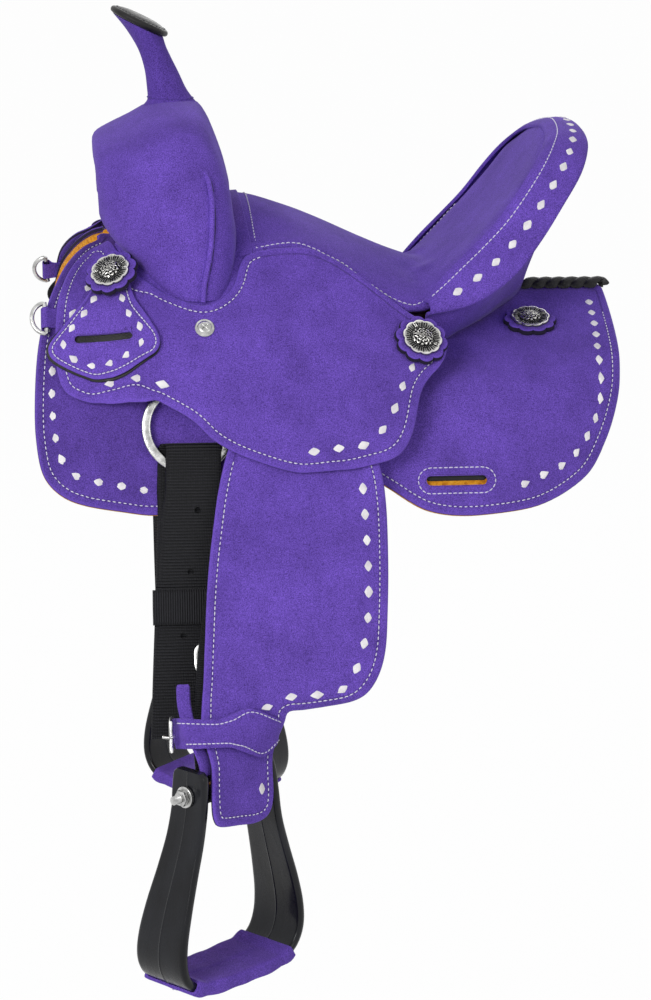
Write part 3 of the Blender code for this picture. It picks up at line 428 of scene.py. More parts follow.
def panel(line, place, low, high, step=4.5 * MM, seam=SEAM_IN, roll=ROLL):
    """Leather panel laid on a surface: cut on a grid, its edge rounded, rolled up to the seam."""
    level_low = low if callable(low) else lambda a, b: low
    level_high = high if callable(high) else lambda a, b: high
    edge = even(smooth_line(line, 8, True), 3 * MM, True)
    thick = level_high(*edge[0]) - level_low(*edge[0])
    rim = thick / 2
    bm = bmesh.new()
    wear = bm.verts.layers.float.new("edge")
    spread = bm.loops.layers.uv.new("flat")
    bm.faces.new([bm.verts.new((a, b, 0)) for a, b in inset(edge, rim)])
    for axis in (0, 1):
        least = min(p[axis] for p in edge)
        most = max(p[axis] for p in edge)
        normal = (1, 0, 0) if axis == 0 else (0, 1, 0)
        for k in range(math.ceil(least / step), math.floor(most / step) + 1):
            bmesh.ops.bisect_plane(
                bm, geom=bm.verts[:] + bm.edges[:] + bm.faces[:], dist=0.0003,
                plane_co=(k * step, k * step, 0), plane_no=normal,
            )
    top = bm.verts[:]
    flat = [(v.co.x, v.co.y) for v in top]
    away = off_line(flat, edge)
    number = {v: k for k, v in enumerate(top)}
    border = {}
    for e in bm.edges:
        if len(e.link_faces) == 1:
            for v in e.verts:
                border.setdefault(v, []).append(e.other_vert(v))
    first = next(iter(border))
    loop = [first, border[first][0]]
    while len(loop) < len(border):
        a, b = border[loop[-1]]
        loop.append(b if a is loop[-2] else a)
    tops = bm.faces[:]
    under = [bm.verts.new((a, b, -1)) for a, b in flat]
    for f in tops:
        bm.faces.new([under[number[v]] for v in reversed(f.verts)])
    area = sum(
        p.co.x * q.co.y - q.co.x * p.co.y for p, q in zip(loop, loop[1:] + loop[:1])
    )
    turn = 1 if area > 0 else -1
    spots = {}
    rounds = [loop]
    for angle in (30, 60, 90, 120, 150):
        ring = []
        for k, v in enumerate(loop):
            go = (loop[(k + 1) % len(loop)].co - loop[k - 1].co).normalized()
            out = rim * math.sin(math.radians(angle))
            spot = (v.co.x + go.y * out * turn, v.co.y - go.x * out * turn)
            fresh = bm.verts.new((*spot, 0))
            spots[fresh] = (*spot, math.cos(math.radians(angle)))
            ring.append(fresh)
        rounds.append(ring)
    rounds.append([under[number[v]] for v in loop])
    for a, b in zip(rounds, rounds[1:]):
        for k in range(len(loop)):
            j = (k + 1) % len(loop)
            bm.faces.new((a[k], a[j], b[j], b[k]) if turn < 0 else (a[j], a[k], b[k], b[j]))
    for v, lower, (a, b), d in zip(top, under, flat, away):
        v[wear] = d
        lower[wear] = d
        t = min(1.0, d / seam)
        puff = roll * math.sin(math.pi * t) ** 0.7 if t < 1 else 0
        v.co = place(a, b, level_high(a, b) + puff)
        lower.co = place(a, b, level_low(a, b))
    for v, (a, b, share) in spots.items():
        v[wear] = rim * (share - 1)
        middle = 0.5 * (level_high(a, b) + level_low(a, b))
        v.co = place(a, b, middle + rim * share)
    spot_of = dict(zip(top + under, flat + flat))
    spot_of.update({v: p[:2] for v, p in spots.items()})
    for f in bm.faces:
        for corner in f.loops:
            corner[spread].uv = spot_of[corner.vert]
    return outward_mesh(bm, "panel")


def settle(name, mesh, finish, stands_for=(), body="saddle", crease=40):
    """Finished piece: smooth but for its creases, riding on its body."""
    if finish:
        mesh.materials.clear()
        mesh.materials.append(finish)
    mesh.shade_smooth()
    mesh.set_sharp_from_angle(angle=math.radians(crease))
    piece = linked(name, mesh)
    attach(piece, body)
    if stands_for:
        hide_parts(*stands_for)
    return piece


def right_place(swing):
    """Mirror across the centre line, then a swing back about (x, v) in the side."""
    place = Matrix.Scale(-1, 4, (0, 1, 0))
    if swing:
        at = in_side(swing[0], swing[1], 0)
        middle = Vector((at.x, -at.y, at.z))
        side = Matrix.Rotation(-swing[2], 4, Vector((0, SIN_SIDE, COS_SIDE)))
        place = Matrix.Translation(middle) @ side @ Matrix.Translation(-middle) @ place
    return place


# Right pieces that hang further back: (x, v) of the swing's middle, and its angle.
SWINGS = {}


def pair(stem, mesh, finish, nodes=(), body="saddle", crease=40):
    """Left piece from the mesh and its mirror image on the right."""
    other = mesh.copy()
    other.transform(right_place(SWINGS.get(body)))
    other.flip_normals()
    for side, shape in (("left", mesh), ("right", other)):
        carrier = body if body == "saddle" else f"{body}_{side}"
        settle(
            f"{stem}_{side}", shape, finish,
            [f"{node}_{side}" for node in nodes], carrier, crease,
        )


def in_side(x, v, h):
    """Point in the flat steep side: x along, v up the slope, h outwards."""
    y = -SIDE_FOOT / TAN_SIDE + COS_SIDE * v - SIN_SIDE * h
    z = SIN_SIDE * v + COS_SIDE * h
    return Vector((x, y, z))


def span(tree, value, low, high, to_low, to_high, kind="LINEAR"):
    """Stretch of a value between two limits, spread between two others."""
    return add(
        tree, "ShaderNodeMapRange", {"interpolation_type": kind}, Value=value,
        From_Min=low, From_Max=high, To_Min=to_low, To_Max=to_high,
    ).outputs[0]


def suede(name, dark=1.0, edged=True, seam=SEAM_IN, front=1.0):
    """Napped purple suede: brushed patches, fine fuzz, a black painted edge, a seam groove with painted
    shade in it, and painted shade towards the front when front is below one.
    """
    finish, tree, shader, place = new_finish(
        name, 0.95, Sheen_Weight=0.2, Sheen_Roughness=0.4, Sheen_Tint=(0.62, 0.5, 1, 1),
        Specular_IOR_Level=0.12,
    )
    deep = tuple(c * 0.8 * dark for c in PURPLE)
    plain = tuple(c * dark for c in PURPLE)
    light = tuple(min(1, c * 1.18 * dark) for c in PURPLE)
    patch = noise(tree, place, PATCH_SCALE, 5.0)
    fuzz = noise(tree, place, FUZZ_SCALE, 2.0)
    brush = noise(tree, place, BRUSH_SCALE, 3.0, (1, 0.5, 0.4))
    tone = ramp(tree, patch, (0.25, deep), (0.5, plain), (0.75, light))
    speck = ramp(tree, fuzz, (0.34, (0.55, 0.55, 0.57)), (0.66, (1.4, 1.4, 1.36)))
    nap = ramp(tree, brush, (0.3, (0.94, 0.94, 0.94)), (0.7, (1.06, 1.06, 1.05)))
    shades = [speck, nap]
    # Painted shade: the suede is darkened towards the front, down to the share front, for light falling off
    # there.
    if front < 1:
        along = add(tree, "ShaderNodeSeparateXYZ", Vector=place).outputs[0]
        reach = span(tree, along, SHADED_FRONT, SHADED_REAR, front, 1.0, "SMOOTHSTEP")
        shades.append(add(tree, "ShaderNodeCombineXYZ", X=reach, Y=reach, Z=reach).outputs[0])
    for shade in shades:
        tone = add(
            tree, "ShaderNodeMix", {"data_type": "RGBA", "blend_type": "MULTIPLY"},
            n0=1.0, n6=tone, n7=shade,
        ).outputs[2]
    if edged:
        away = add(tree, "ShaderNodeAttribute", {"attribute_name": "edge"}).outputs["Fac"]
        rim = span(tree, away, -1.5 * MM, -0.8 * MM, 1.0, 0.0)
        rub = span(tree, away, 0.0, RUBBED_WIDE, 0.4, 0.0)
        tone = tint(tree, tone, (*[min(1, c * 1.5) for c in PURPLE], 1), rub)
        tone = tint(tree, tone, EDGE_BLACK, rim)
    if edged and seam:
        off_seam = reckon(tree, "ABSOLUTE", reckon(tree, "SUBTRACT", away, seam))
        groove = span(tree, off_seam, 0.0, SEAM_HALF, 0.0, 1.0, "SMOOTHSTEP")
        raise_by(tree, shader, groove, SEAM_DEEP)
        # Painted shade: the suede colour is darkened in the seam groove.
        dip = span(tree, groove, 0.0, 1.0, 0.45, 0.0)
        tone = tint(tree, tone, (*[c * 0.3 for c in PURPLE], 1), dip)
    tree.links.new(tone, shader.inputs["Base Color"])
    raise_by(tree, shader, fuzz, FUZZ_DEEP)
    raise_by(tree, shader, brush, BRUSH_DEEP)
    return finish


def turns(count, shift=0.0):
    """Angles at even steps round a full turn."""
    return [2 * math.pi * (k + shift) / count for k in range(count)]


def stitch_shape():
    """One lock stitch: a short thread that dives into the leather at both ends."""
    bm = bmesh.new()
    rings = []
    for k in range(5):
        t = k / 4 * 2 - 1
        fat = THREAD * (1 - 0.45 * t * t)
        lift = THREAD * (0.75 - 1.25 * t * t)
        rings.append([
            bm.verts.new((
                t * 0.39 * STITCH,
                fat * math.cos(math.pi * j / 3),
                lift + fat * math.sin(math.pi * j / 3),
            ))
            for j in range(6)
        ])
    for a, b in zip(rings, rings[1:]):
        for j in range(6):
            bm.faces.new((a[j], a[(j + 1) % 6], b[(j + 1) % 6], b[j]))
    bm.faces.new(rings[0])
    bm.faces.new(rings[-1])
    return outward_mesh(bm, "stitch")


def lozenge_shape(long, wide):
    """One laced lozenge: soft sided, its points tucked into the slits of the suede."""
    bm = bmesh.new()
    rows = []
    for size, lift in ((1.0, -0.5), (0.97, 0.15), (0.8, 0.5), (0.4, 0.72)):
        row = []
        for a in turns(16):
            reach = 1 / (abs(math.cos(a)) ** 1.12 + abs(math.sin(a)) ** 1.12) ** (1 / 1.12)
            drop = 0.45 * abs(math.cos(a)) ** 6
            row.append(bm.verts.new((
                long / 2 * size * reach * math.cos(a),
                wide / 2 * size * reach * math.sin(a),
                (lift - drop) * MM,
            )))
        rows.append(row)
    for a, b in zip(rows, rows[1:]):
        for j in range(16):
            bm.faces.new((a[j], a[(j + 1) % 16], b[(j + 1) % 16], b[j]))
    bm.faces.new(rows[-1])
    bm.faces.new(rows[0][::-1])
    return outward_mesh(bm, "lozenge")


def marks_tree():
    """Geometry Nodes: one mark repeated along a line, turned with it and off the surface."""
    group = bpy.data.node_groups.new("marks_along_a_line", "GeometryNodeTree")
    face = group.interface
    face.new_socket("Geometry", in_out="INPUT", socket_type="NodeSocketGeometry")
    face.new_socket("Mark", in_out="INPUT", socket_type="NodeSocketObject")
    face.new_socket("Spacing", in_out="INPUT", socket_type="NodeSocketFloat")
    face.new_socket("Size spread", in_out="INPUT", socket_type="NodeSocketFloat")
    face.new_socket("Finish", in_out="INPUT", socket_type="NodeSocketMaterial")
    face.new_socket("Geometry", in_out="OUTPUT", socket_type="NodeSocketGeometry")
    enter = add(group, "NodeGroupInput").outputs
    curve = add(group, "GeometryNodeMeshToCurve", Mesh=enter["Geometry"]).outputs[0]
    spaced = add(
        group, "GeometryNodeResampleCurve", {"mode": "LENGTH"}, Curve=curve, Length=enter["Spacing"],
    ).outputs[0]
    up = add(
        group, "GeometryNodeInputNamedAttribute", {"data_type": "FLOAT_VECTOR"}, Name="up",
    ).outputs["Attribute"]
    stand = add(
        group, "FunctionNodeAlignRotationToVector", {"axis": "Z"}, Vector=up,
    ).outputs[0]
    along = add(
        group, "FunctionNodeAlignRotationToVector", {"axis": "X", "pivot_axis": "Z"},
        Rotation=stand, Vector=add(group, "GeometryNodeInputTangent").outputs[0],
    ).outputs[0]
    least = reckon(group, "SUBTRACT", 1.0, enter["Size spread"])
    size = add(
        group, "FunctionNodeRandomValue", {"data_type": "FLOAT"}, n2=least, n3=1.0, Seed=7,
    ).outputs[1]
    mark = add(group, "GeometryNodeObjectInfo", Object=enter["Mark"]).outputs["Geometry"]
    placed = add(
        group, "GeometryNodeInstanceOnPoints",
        Points=spaced, Instance=mark, Rotation=along, Scale=size,
    ).outputs[0]
    real = add(group, "GeometryNodeRealizeInstances", Geometry=placed).outputs[0]
    done = add(
        group, "GeometryNodeSetMaterial", Geometry=real, Material=enter["Finish"],
    ).outputs[0]
    add(group, "NodeGroupOutput", Geometry=done)
    return group


MARKS = marks_tree()


def worked_out(holder):
    """Plain mesh of an object with its modifiers worked out."""
    bpy.context.view_layer.update()
    return bpy.data.meshes.new_from_object(
        holder.evaluated_get(bpy.context.evaluated_depsgraph_get())
    )


def repeat(runs, mark, gap, finish, spread=0.0):
    """Mesh of the mark repeated along runs of (points with their up, closed)."""
    points = []
    ups = []
    edges = []
    for line, closed in runs:
        start = len(points)
        points += [p for p, up in line]
        ups += [up for p, up in line]
        edges += [(k, k + 1) for k in range(start, len(points) - 1)]
        if closed:
            edges.append((len(points) - 1, start))
    mesh = bpy.data.meshes.new("run")
    mesh.from_pydata(points, edges, [])
    mesh.attributes.new("up", "FLOAT_VECTOR", "POINT").data.foreach_set(
        "vector", [c for up in ups for c in up]
    )
    sample = linked("mark", mark)
    holder = linked("run", mesh)
    modifier = holder.modifiers.new("marks", "NODES")
    modifier.node_group = MARKS
    values = {"Mark": sample, "Spacing": gap, "Size spread": spread, "Finish": finish}
    for item in MARKS.interface.items_tree:
        if item.in_out == "INPUT" and item.name in values:
            modifier[item.identifier] = values[item.name]
    done = worked_out(holder)
    for ob in (sample, holder):
        bpy.data.objects.remove(ob, do_unlink=True)
    return done


def track(line, place, lift):
    """Points of a flat line on the surface, each with the direction off it."""
    out = []
    for a, b in line:
        level = lift(a, b) if callable(lift) else lift
        at = place(a, b, level)
        out.append((at, (place(a, b, level + 2 * MM) - at).normalized()))
    return out


def seam_runs(line, place, lift, away=SEAM_IN, keep=None):
    """Seam line a set distance inside an outline, as runs where it is kept."""
    inner = inset(even(smooth_line(line, 8, True), 3 * MM, True), away)
    if keep is None:
        return [(track(inner, place, lift), True)]
    good = [keep(a, b) for a, b in inner]
    start = next(k for k in range(len(inner)) if not good[k])
    runs = []
    current = []
    for k in range(start, start + len(inner) + 1):
        a, b = inner[k % len(inner)]
        if good[k % len(inner)]:
            current.append((a, b))
            continue
        if len(current) > 3:
            runs.append((track(current, place, lift), False))
        current = []
    return runs


def lozenge_run(points, place, lift):
    """Run of lozenges along a smooth line through the points, in millimetres."""
    return track(even(smooth_line(in_metres(points), 6), 4 * MM, False), place, lift), False


thread, tree, shader, place = new_finish("waxed_thread", 0.6, Sheen_Weight=0.2)
twist = add(
    tree, "ShaderNodeTexWave", {"bands_direction": "DIAGONAL"},
    Vector=place, Scale=620.0, Distortion=1.5, Detail=1.0,
).outputs["Fac"]
tree.links.new(
    ramp(tree, twist, (0.2, (0.5, 0.45, 0.66)), (0.75, (0.86, 0.83, 0.93))),
    shader.inputs["Base Color"],
)
raise_by(tree, shader, twist, 0.12 * MM)

lacing, tree, shader, place = new_finish("white_lacing", 0.55, Sheen_Weight=0.1)
pebble = noise(tree, place, 700.0, 3.0)
soil = noise(tree, place, 90.0, 2.0)
tone = ramp(tree, soil, (0.3, (0.62, 0.58, 0.62)), (0.65, (0.83, 0.8, 0.8)))
tree.links.new(tone, shader.inputs["Base Color"])
raise_by(tree, shader, pebble, 0.2 * MM)


def leather(name, colour, rough, pebble_depth=0.25 * MM):
    """Dyed and waxed leather: fine pebbled grain with soft wear."""
    finish, tree, shader, place = new_finish(name, rough, Specular_IOR_Level=0.22)
    cells = add(
        tree, "ShaderNodeTexVoronoi", {"feature": "SMOOTH_F1"}, Vector=place, Scale=850.0,
    ).outputs["Distance"]
    wear = noise(tree, place, 70.0, 4.0)
    tone = ramp(tree, wear, (0.35, colour), (0.7, tuple(c * 2.2 + 0.004 for c in colour)))
    tree.links.new(tone, shader.inputs["Base Color"])
    shine = span(tree, wear, 0.3, 0.7, rough * 0.85, min(1.0, rough * 1.25))
    tree.links.new(shine, shader.inputs["Roughness"])
    raise_by(tree, shader, cells, pebble_depth)
    return finish


black_leather = leather("black_leather", (0.006, 0.0055, 0.006), 0.42)

SKIRT_LINE = [
    (-186, 33), (-195, 44.5), (-208, 58), (-221, 83), (-230, 111), (-238, 141), (-245, 175),
    (-248, 214), (-247.6, 246.5), (-242.5, 275), (-229, 293), (-209, 303), (-182, 306.5),
    (-150, 305), (-120, 290), (-92, 262), (-62, 240), (-20, 230), (12, 233), (35, 243.5),
    (69, 262), (109, 266), (159, 256.5), (199.5, 226.5), (220, 190), (232.5, 152),
    (236.5, 121), (238.5, 70), (239, 28), [238.5, 2.5], [165, 2.5], (138, 10), (112, 28),
    (50, 33), (-100, 33),
]
SLOT_X = 91.5 * MM
SLOT_S = 237.5 * MM


def spot(place, x, s, h, turn=0.0):
    """Frame on a surface: z outwards, x along the saddle."""
    at = place(x, s, h)
    out = (place(x, s, h + 5 * MM) - at).normalized()
    along = (place(x + 4 * MM, s, h) - place(x - 4 * MM, s, h)).normalized()
    across = out.cross(along).normalized()
    along = across.cross(out)
    axes = Matrix((along, across, out)).transposed().to_4x4()
    axes.translation = at
    return axes @ Matrix.Rotation(turn, 4, "Z")


def loft(rows, ends=True, around=True, wrap=False, attribute=None):
    """Closed body through rows of points, each row a ring."""
    bm = bmesh.new()
    layer = bm.verts.layers.float.new(attribute[0]) if attribute else None
    rings = [[bm.verts.new(p) for p in row] for row in rows]
    n = len(rings[0])
    pairs = list(zip(rings, rings[1:]))
    if wrap:
        pairs.append((rings[-1], rings[0]))
    for a, b in pairs:
        for j in range(n if around else n - 1):
            k = (j + 1) % n
            bm.faces.new((a[j], a[k], b[k], b[j]))
    if ends and not wrap:
        bm.faces.new(rings[0])
        bm.faces.new(rings[-1])
    if attribute:
        for ring, row in zip(rings, attribute[1]):
            for v, value in zip(ring, row):
                v[layer] = value
    bmesh.ops.remove_doubles(bm, verts=bm.verts[:], dist=0.00001)
    return outward_mesh(bm, "loft")


def without(mesh, tool):
    """The mesh with the tool's shape cut out of it."""
    holders = [linked("cut", shape) for shape in (mesh, tool)]
    modifier = holders[0].modifiers.new("cut", "BOOLEAN")
    modifier.solver = "EXACT"
    modifier.operation = "DIFFERENCE"
    modifier.object = holders[1]
    done = worked_out(holders[0])
    for holder in holders:
        bpy.data.objects.remove(holder, do_unlink=True)
    return done


def oval(frame_at, half, radius, count, lift):
    """Long ring with round ends in a frame's own plane."""
    ring = []
    for a in turns(count, 0.5):
        side = math.copysign(half, math.cos(a))
        ring.append(frame_at @ Vector((side + radius * math.cos(a), radius * math.sin(a), lift)))
    return ring


slot_at = spot(on_skirt, SLOT_X, SLOT_S, 0)
slot_half = SLOT_LONG / 2 - SLOT_TALL / 2
slot_tool = loft([oval(slot_at, slot_half, SLOT_TALL / 2, 24, h) for h in (-16 * MM, 4 * MM)])
skirt_line = in_metres(SKIRT_LINE)
panel_suede = suede("purple_suede")
skirt = panel(skirt_line, on_skirt, -SKIRT_THICK, 0)
# The skirt suede carries painted shade towards its front.
skirt_suede_painted_shade = suede("skirt_suede_painted_shade", front=0.76)
pair("skirt_leather", without(skirt, slot_tool), skirt_suede_painted_shade, ["skirt"])

slot_ring = []
for a in turns(48, 0.5):
    x = SLOT_X + math.copysign(slot_half, math.cos(a)) + SLOT_SEAM_R * math.cos(a)
    slot_ring.append((x, SLOT_S + SLOT_SEAM_R * math.sin(a)))
skirt_seams = seam_runs(
    skirt_line, on_skirt, 0,
    keep=lambda x, s: s > 50 * MM and (x < -150 * MM or x > 20 * MM),
)
skirt_seams.append((track(even(slot_ring, 2 * MM, True), on_skirt, 0), True))
STITCHING = stitch_shape()
LOZENGE = lozenge_shape(LOZENGE_LONG, LOZENGE_WIDE)
SET_BACK = 11 * MM


def stitched_pair(stem, runs, body="saddle", gap=STITCH):
    """Seams of white lock stitches on the left piece and on the right one."""
    mesh = repeat(runs, STITCHING, gap, thread)
    pair(f"{stem}_stitches", mesh, None, (), body)


def laced_pair(stem, runs, gap, body="saddle", mark=LOZENGE, spread=0.12):
    """Rows of laced lozenges on the left piece and on the right one."""
    mesh = repeat(runs, mark, gap, lacing, spread)
    pair(f"{stem}_lozenges", mesh, None, (), body)


stitched_pair("skirt", skirt_seams)
front_run = lozenge_run(
    [(-233, 192.5), (-233.5, 226), (-228, 262), (-213, 280.5), (-180, 286), (-162, 287)],
    on_skirt, -0.2 * MM,
)
rear_run = lozenge_run(
    [(223, 32), (221.5, 74), (218, 113), (215.5, 156), (204.5, 187.5), (183, 218), (146.5, 240.5)],
    on_skirt, 0,
)
laced_pair("skirt", [front_run, rear_run], SKIRT_LACE_STEP)


def ease_back(*stems):
    """The right skirt was moulded with its front edge a little further back than the left."""
    for stem in stems:
        for v in bpy.data.objects[f"{stem}_right"].data.vertices:
            v.co.x += SET_BACK * ease(150 * MM, 235 * MM, -v.co.x)


ease_back("skirt_leather", "skirt_stitches", "skirt_lozenges")


# Lining: thick orange felt under each skirt, which lies on the horse's back.
# It is needled wool cut with the skirt, so its edge is soft and shows a little fluff.
# Behind the rear slot the felt is only slit, so it closes when no strap is through it; a black sheet under
# the slot's upper half is painted shade.
LINING_THICK = 7.6 * MM
LAYER_GAP = 0.4 * MM


def under_skirt(x, s, h):
    return on_skirt(x, max(s, 7 * MM), h)


felt, tree, shader, place = new_finish("orange_felt", 1.0, Sheen_Weight=0.1, Specular_IOR_Level=0.1)
tuft = noise(tree, place, 260.0, 4.0)
strand = noise(tree, place, 1400.0, 2.0, (1, 0.4, 1))
tone = ramp(
    tree, tuft, (0.3, (0.5, 0.17, 0.012)), (0.55, (0.76, 0.32, 0.02)), (0.8, (0.86, 0.45, 0.06)),
)
tree.links.new(tone, shader.inputs["Base Color"])
raise_by(tree, shader, tuft, 1.6 * MM)
raise_by(tree, shader, strand, 0.5 * MM)

lining_high = -SKIRT_THICK - LAYER_GAP
lining = panel(
    skirt_line, under_skirt, lining_high - LINING_THICK, lining_high, step=9 * MM, roll=0.0,
)
pair("felt_lining", lining, felt, ["lining"])
ease_back("felt_lining")
# Painted shade: a black sheet under the upper half of the rear slot, for the shade cast by its upper wall.
shade = panel(
    in_metres([[66, 237.4], [117, 237.4], [117, 231.5], [66, 231.5]]), on_skirt,
    -SKIRT_THICK - 0.3 * MM, -SKIRT_THICK + 0.5 * MM, roll=0.0,
)
pair("slot_shade", shade, black_leather)


# Jockeys: the large side panels over the skirts, suede on stiff leather.
# Each curves round the foot of the fork, is screwed to the tree and hangs over the fender.
JOCKEY_THICK = 3.1 * MM
JOCKEY_LOW = 6.0 * MM
JOCKEY_HIGH = 22.5 * MM
JOCKEY_PEAK = 173.0 * MM
JOCKEY_DROP = 40.0 * MM
JOCKEY_TILT = 1.07
JOCKEY_LACE_STEP = 18 * MM


def jockey_z(x, y):
    """Height of the jockey's face, which leaves the skirt behind its front edge."""
    stand = ease(-205 * MM, -150 * MM, x)
    peak = JOCKEY_PEAK - JOCKEY_DROP * ease(-30 * MM, 80 * MM, x)
    side = SIDE_FOOT - TAN_SIDE * (y + end_pull(x)) + JOCKEY_HIGH / COS_SIDE
    high = lower_of(peak - JOCKEY_TILT * y, side, 12 * MM)
    return mix(skirt_z(x, y, JOCKEY_LOW), high, stand)


on_jockey = laid(jockey_z)
JOCKEY_LINE = [
    (-188, 82), (-199, 74), (-209, 84), (-217, 100), (-223, 119), (-227, 137), (-229.5, 155),
    (-230.5, 176), (-229.5, 202), (-224, 218), (-213, 226), (-197, 232), (-186, 244),
    (-176, 259), (-160, 285), (-146, 293), (-123, 307), (-104, 325), (-77, 339), (-36, 351),
    (-3, 344), (22, 329), (42.5, 312), (54, 290), (62, 255), (70, 238), (81, 224), (86.5, 211),
    (84, 194), [77, 186], (52, 176), (34, 169), (4, 161), (-30, 155.5), (-60, 157.5), [-75, 163],
    (-80, 172), (-86, 192), (-97, 205), (-111, 210.5), (-129, 205), (-149, 193), (-162, 172),
    (-174, 134), (-183, 95),
]
jockey_line = in_metres(JOCKEY_LINE)
pair(
    "jockey_leather", panel(jockey_line, on_jockey, -JOCKEY_THICK, 0),
    panel_suede, ["jockey"],
)
jockey_seams = seam_runs(
    jockey_line, on_jockey, 0,
    keep=lambda x, s: x < -84 * MM or s > 190 * MM or (x < -64 * MM and s > 158 * MM),
)
stitched_pair("jockey", jockey_seams)
jockey_lozenges = [
    lozenge_run([(-203, 128), (-208, 134), (-216, 156)], on_jockey, 0),
    lozenge_run([(-187, 226), (-166, 257), (-146, 278)], on_jockey, 0.6 * MM),
    lozenge_run([(56, 233), (45, 259), (35, 288), (12, 319), (-26, 334)], on_jockey, 0),
]
laced_pair("jockey", jockey_lozenges, JOCKEY_LACE_STEP)


# Fenders: wide suede panels that keep the rider's leg off the webbing and swing with it.
# The narrow lower end turns to the front with the stirrup leather and is held by the hobble.
FENDER_IN = 13.6 * MM
FENDER_THICK = 3.3 * MM
TWIST = math.radians(42)
TWIST_X = -101.5 * MM
TWIST_TOP = -296.0 * MM
TWIST_END = -352.0 * MM
FENDER_LACE_STEP = 20 * MM
SWINGS["fender"] = (-72.0 * MM, -60.0 * MM, math.radians(2.7))
SWINGS["stirrup"] = SWINGS["fender"]


def in_leg(x, v, h):
    """In the flat side, but turned towards the front below the fender."""
    angle = TWIST * ease(-TWIST_TOP, -TWIST_END, -v)
    base = in_side(TWIST_X, v, 0)
    along = Vector((math.cos(angle), math.sin(angle), 0))
    out = Vector((math.sin(angle), -SIN_SIDE * math.cos(angle), COS_SIDE * math.cos(angle)))
    return base + along * (x - TWIST_X) + out.normalized() * h


def fender_low(x, v):
    return FENDER_IN + 2 * MM * ease(290 * MM, 320 * MM, -v)


def fender_high(x, v):
    return fender_low(x, v) + FENDER_THICK


FENDER_LINE = [
    (-58, -52), (-72, -58), (-84, -76), (-96, -106), (-103, -134), (-107, -158),
    (-111.5, -190), (-114.5, -221), (-117, -261), (-120, -300), (-128, -322),
    (-134, -344), (-135, -376), (-133, -390), (-126, -396.5), (-105, -400), (-86, -402.5),
    (-72, -399), (-66.2, -386), (-66.2, -356), (-61, -340), (-57, -326), (-53, -315),
    (-40, -314), (-22, -312), (-2, -308), (12, -299), (22, -284.5), (28, -264), (30.5, -233),
    (32, -193), (31.3, -144.5), (26, -112), (12, -84), (-6, -62), (-24, -52),
]
fender_line = in_metres(FENDER_LINE)
pair(
    "fender_leather", panel(fender_line, in_leg, fender_low, fender_high),
    panel_suede, ["fender"], "fender",
)
fender_seams = seam_runs(fender_line, in_leg, fender_high, keep=lambda x, v: v < -112 * MM)
stitched_pair("fender", fender_seams, "fender")
fender_lozenges = [
    lozenge_run(
        [(13, -135), (15, -176), (15.5, -215), (12, -254), (-1, -289), (-18, -298), (-55, -301),
         (-69, -308)],
        in_leg, fender_high,
    ),
    lozenge_run([(-80, -377), (-77, -339)], in_leg, fender_high),
]
laced_pair("fender", fender_lozenges, FENDER_LACE_STEP, "fender")


# Latigo keeper: keyhole shaped suede tab under the front concho, with a slot for the strap.
# It is two leathers stitched close to the edge, thick and black at the cut.
# A thin black backing leather shows as a rim along the lower edge and through the slot; this rim and the
# black in the slot are partly painted shade.
STRAP_THICK = 3.0 * MM
KEEPER_SEAM = 3.4 * MM
KEEPER_SLOT = 3.2 * MM
KEEPER_STITCH = 3.6 * MM
KEEPER_LACE_STEP = 15.2 * MM
SMALL_LOZENGE = (10.5 * MM, 6.2 * MM)
KEEPER_LINE = [
    (-200, 134), (-207, 146), (-219, 161), (-229.5, 172.5), (-236, 181.5), (-235, 190),
    (-228, 197), (-214, 205.3), (-203, 210), (-192, 217), (-181.5, 228.5), (-170.5, 242),
    (-160, 251.5), (-152, 253), (-147.3, 246.5), (-148, 238), (-153.5, 226), (-160, 209),
    (-166.5, 188), (-170, 166), (-172, 145), (-177, 130), (-187, 124), (-196, 127),
]
BACKING_LINE = [
    (-231, 172.5), (-237.6, 181.5), (-236.6, 191), (-229, 198.5), (-214.6, 206.8), (-203.6, 211.5),
    (-193, 218.4), (-182.6, 229.6), (-171.4, 243.3), (-160.6, 253), (-151.6, 254.5), (-146.8, 246.8),
    (-148, 237.5), (-153.5, 225.2), (-160.4, 208.5), (-167, 187.6), (-174, 170), (-195, 165),
    (-220, 165),
]


def keeper_low_side(x, s):
    return (1.9 + 1.7 * (1 - ease(120 * MM, 150 * MM, s))) * MM


def keeper_high_side(x, s):
    return keeper_low_side(x, s) + STRAP_THICK


slot_low = spot(on_jockey, -212 * MM, 178.5 * MM, 0)
slot_high = spot(on_jockey, -172 * MM, 212 * MM, 0)
slot_along = slot_high.translation - slot_low.translation
slot_out = (slot_low.col[2].xyz + slot_high.col[2].xyz).normalized()
slot_up = slot_out.cross(slot_along).normalized()
keeper_rows = []
for h in (-10 * MM, 14 * MM):
    ring = []
    for a in turns(20, 0.5):
        end = slot_low.translation + slot_along * (0.0 if math.cos(a) < 0 else 1.0) + slot_out * h
        end += slot_along.normalized() * (KEEPER_SLOT * math.cos(a))
        ring.append(end + slot_up * (KEEPER_SLOT * math.sin(a)))
    keeper_rows.append(ring)
keeper_line = in_metres(KEEPER_LINE)
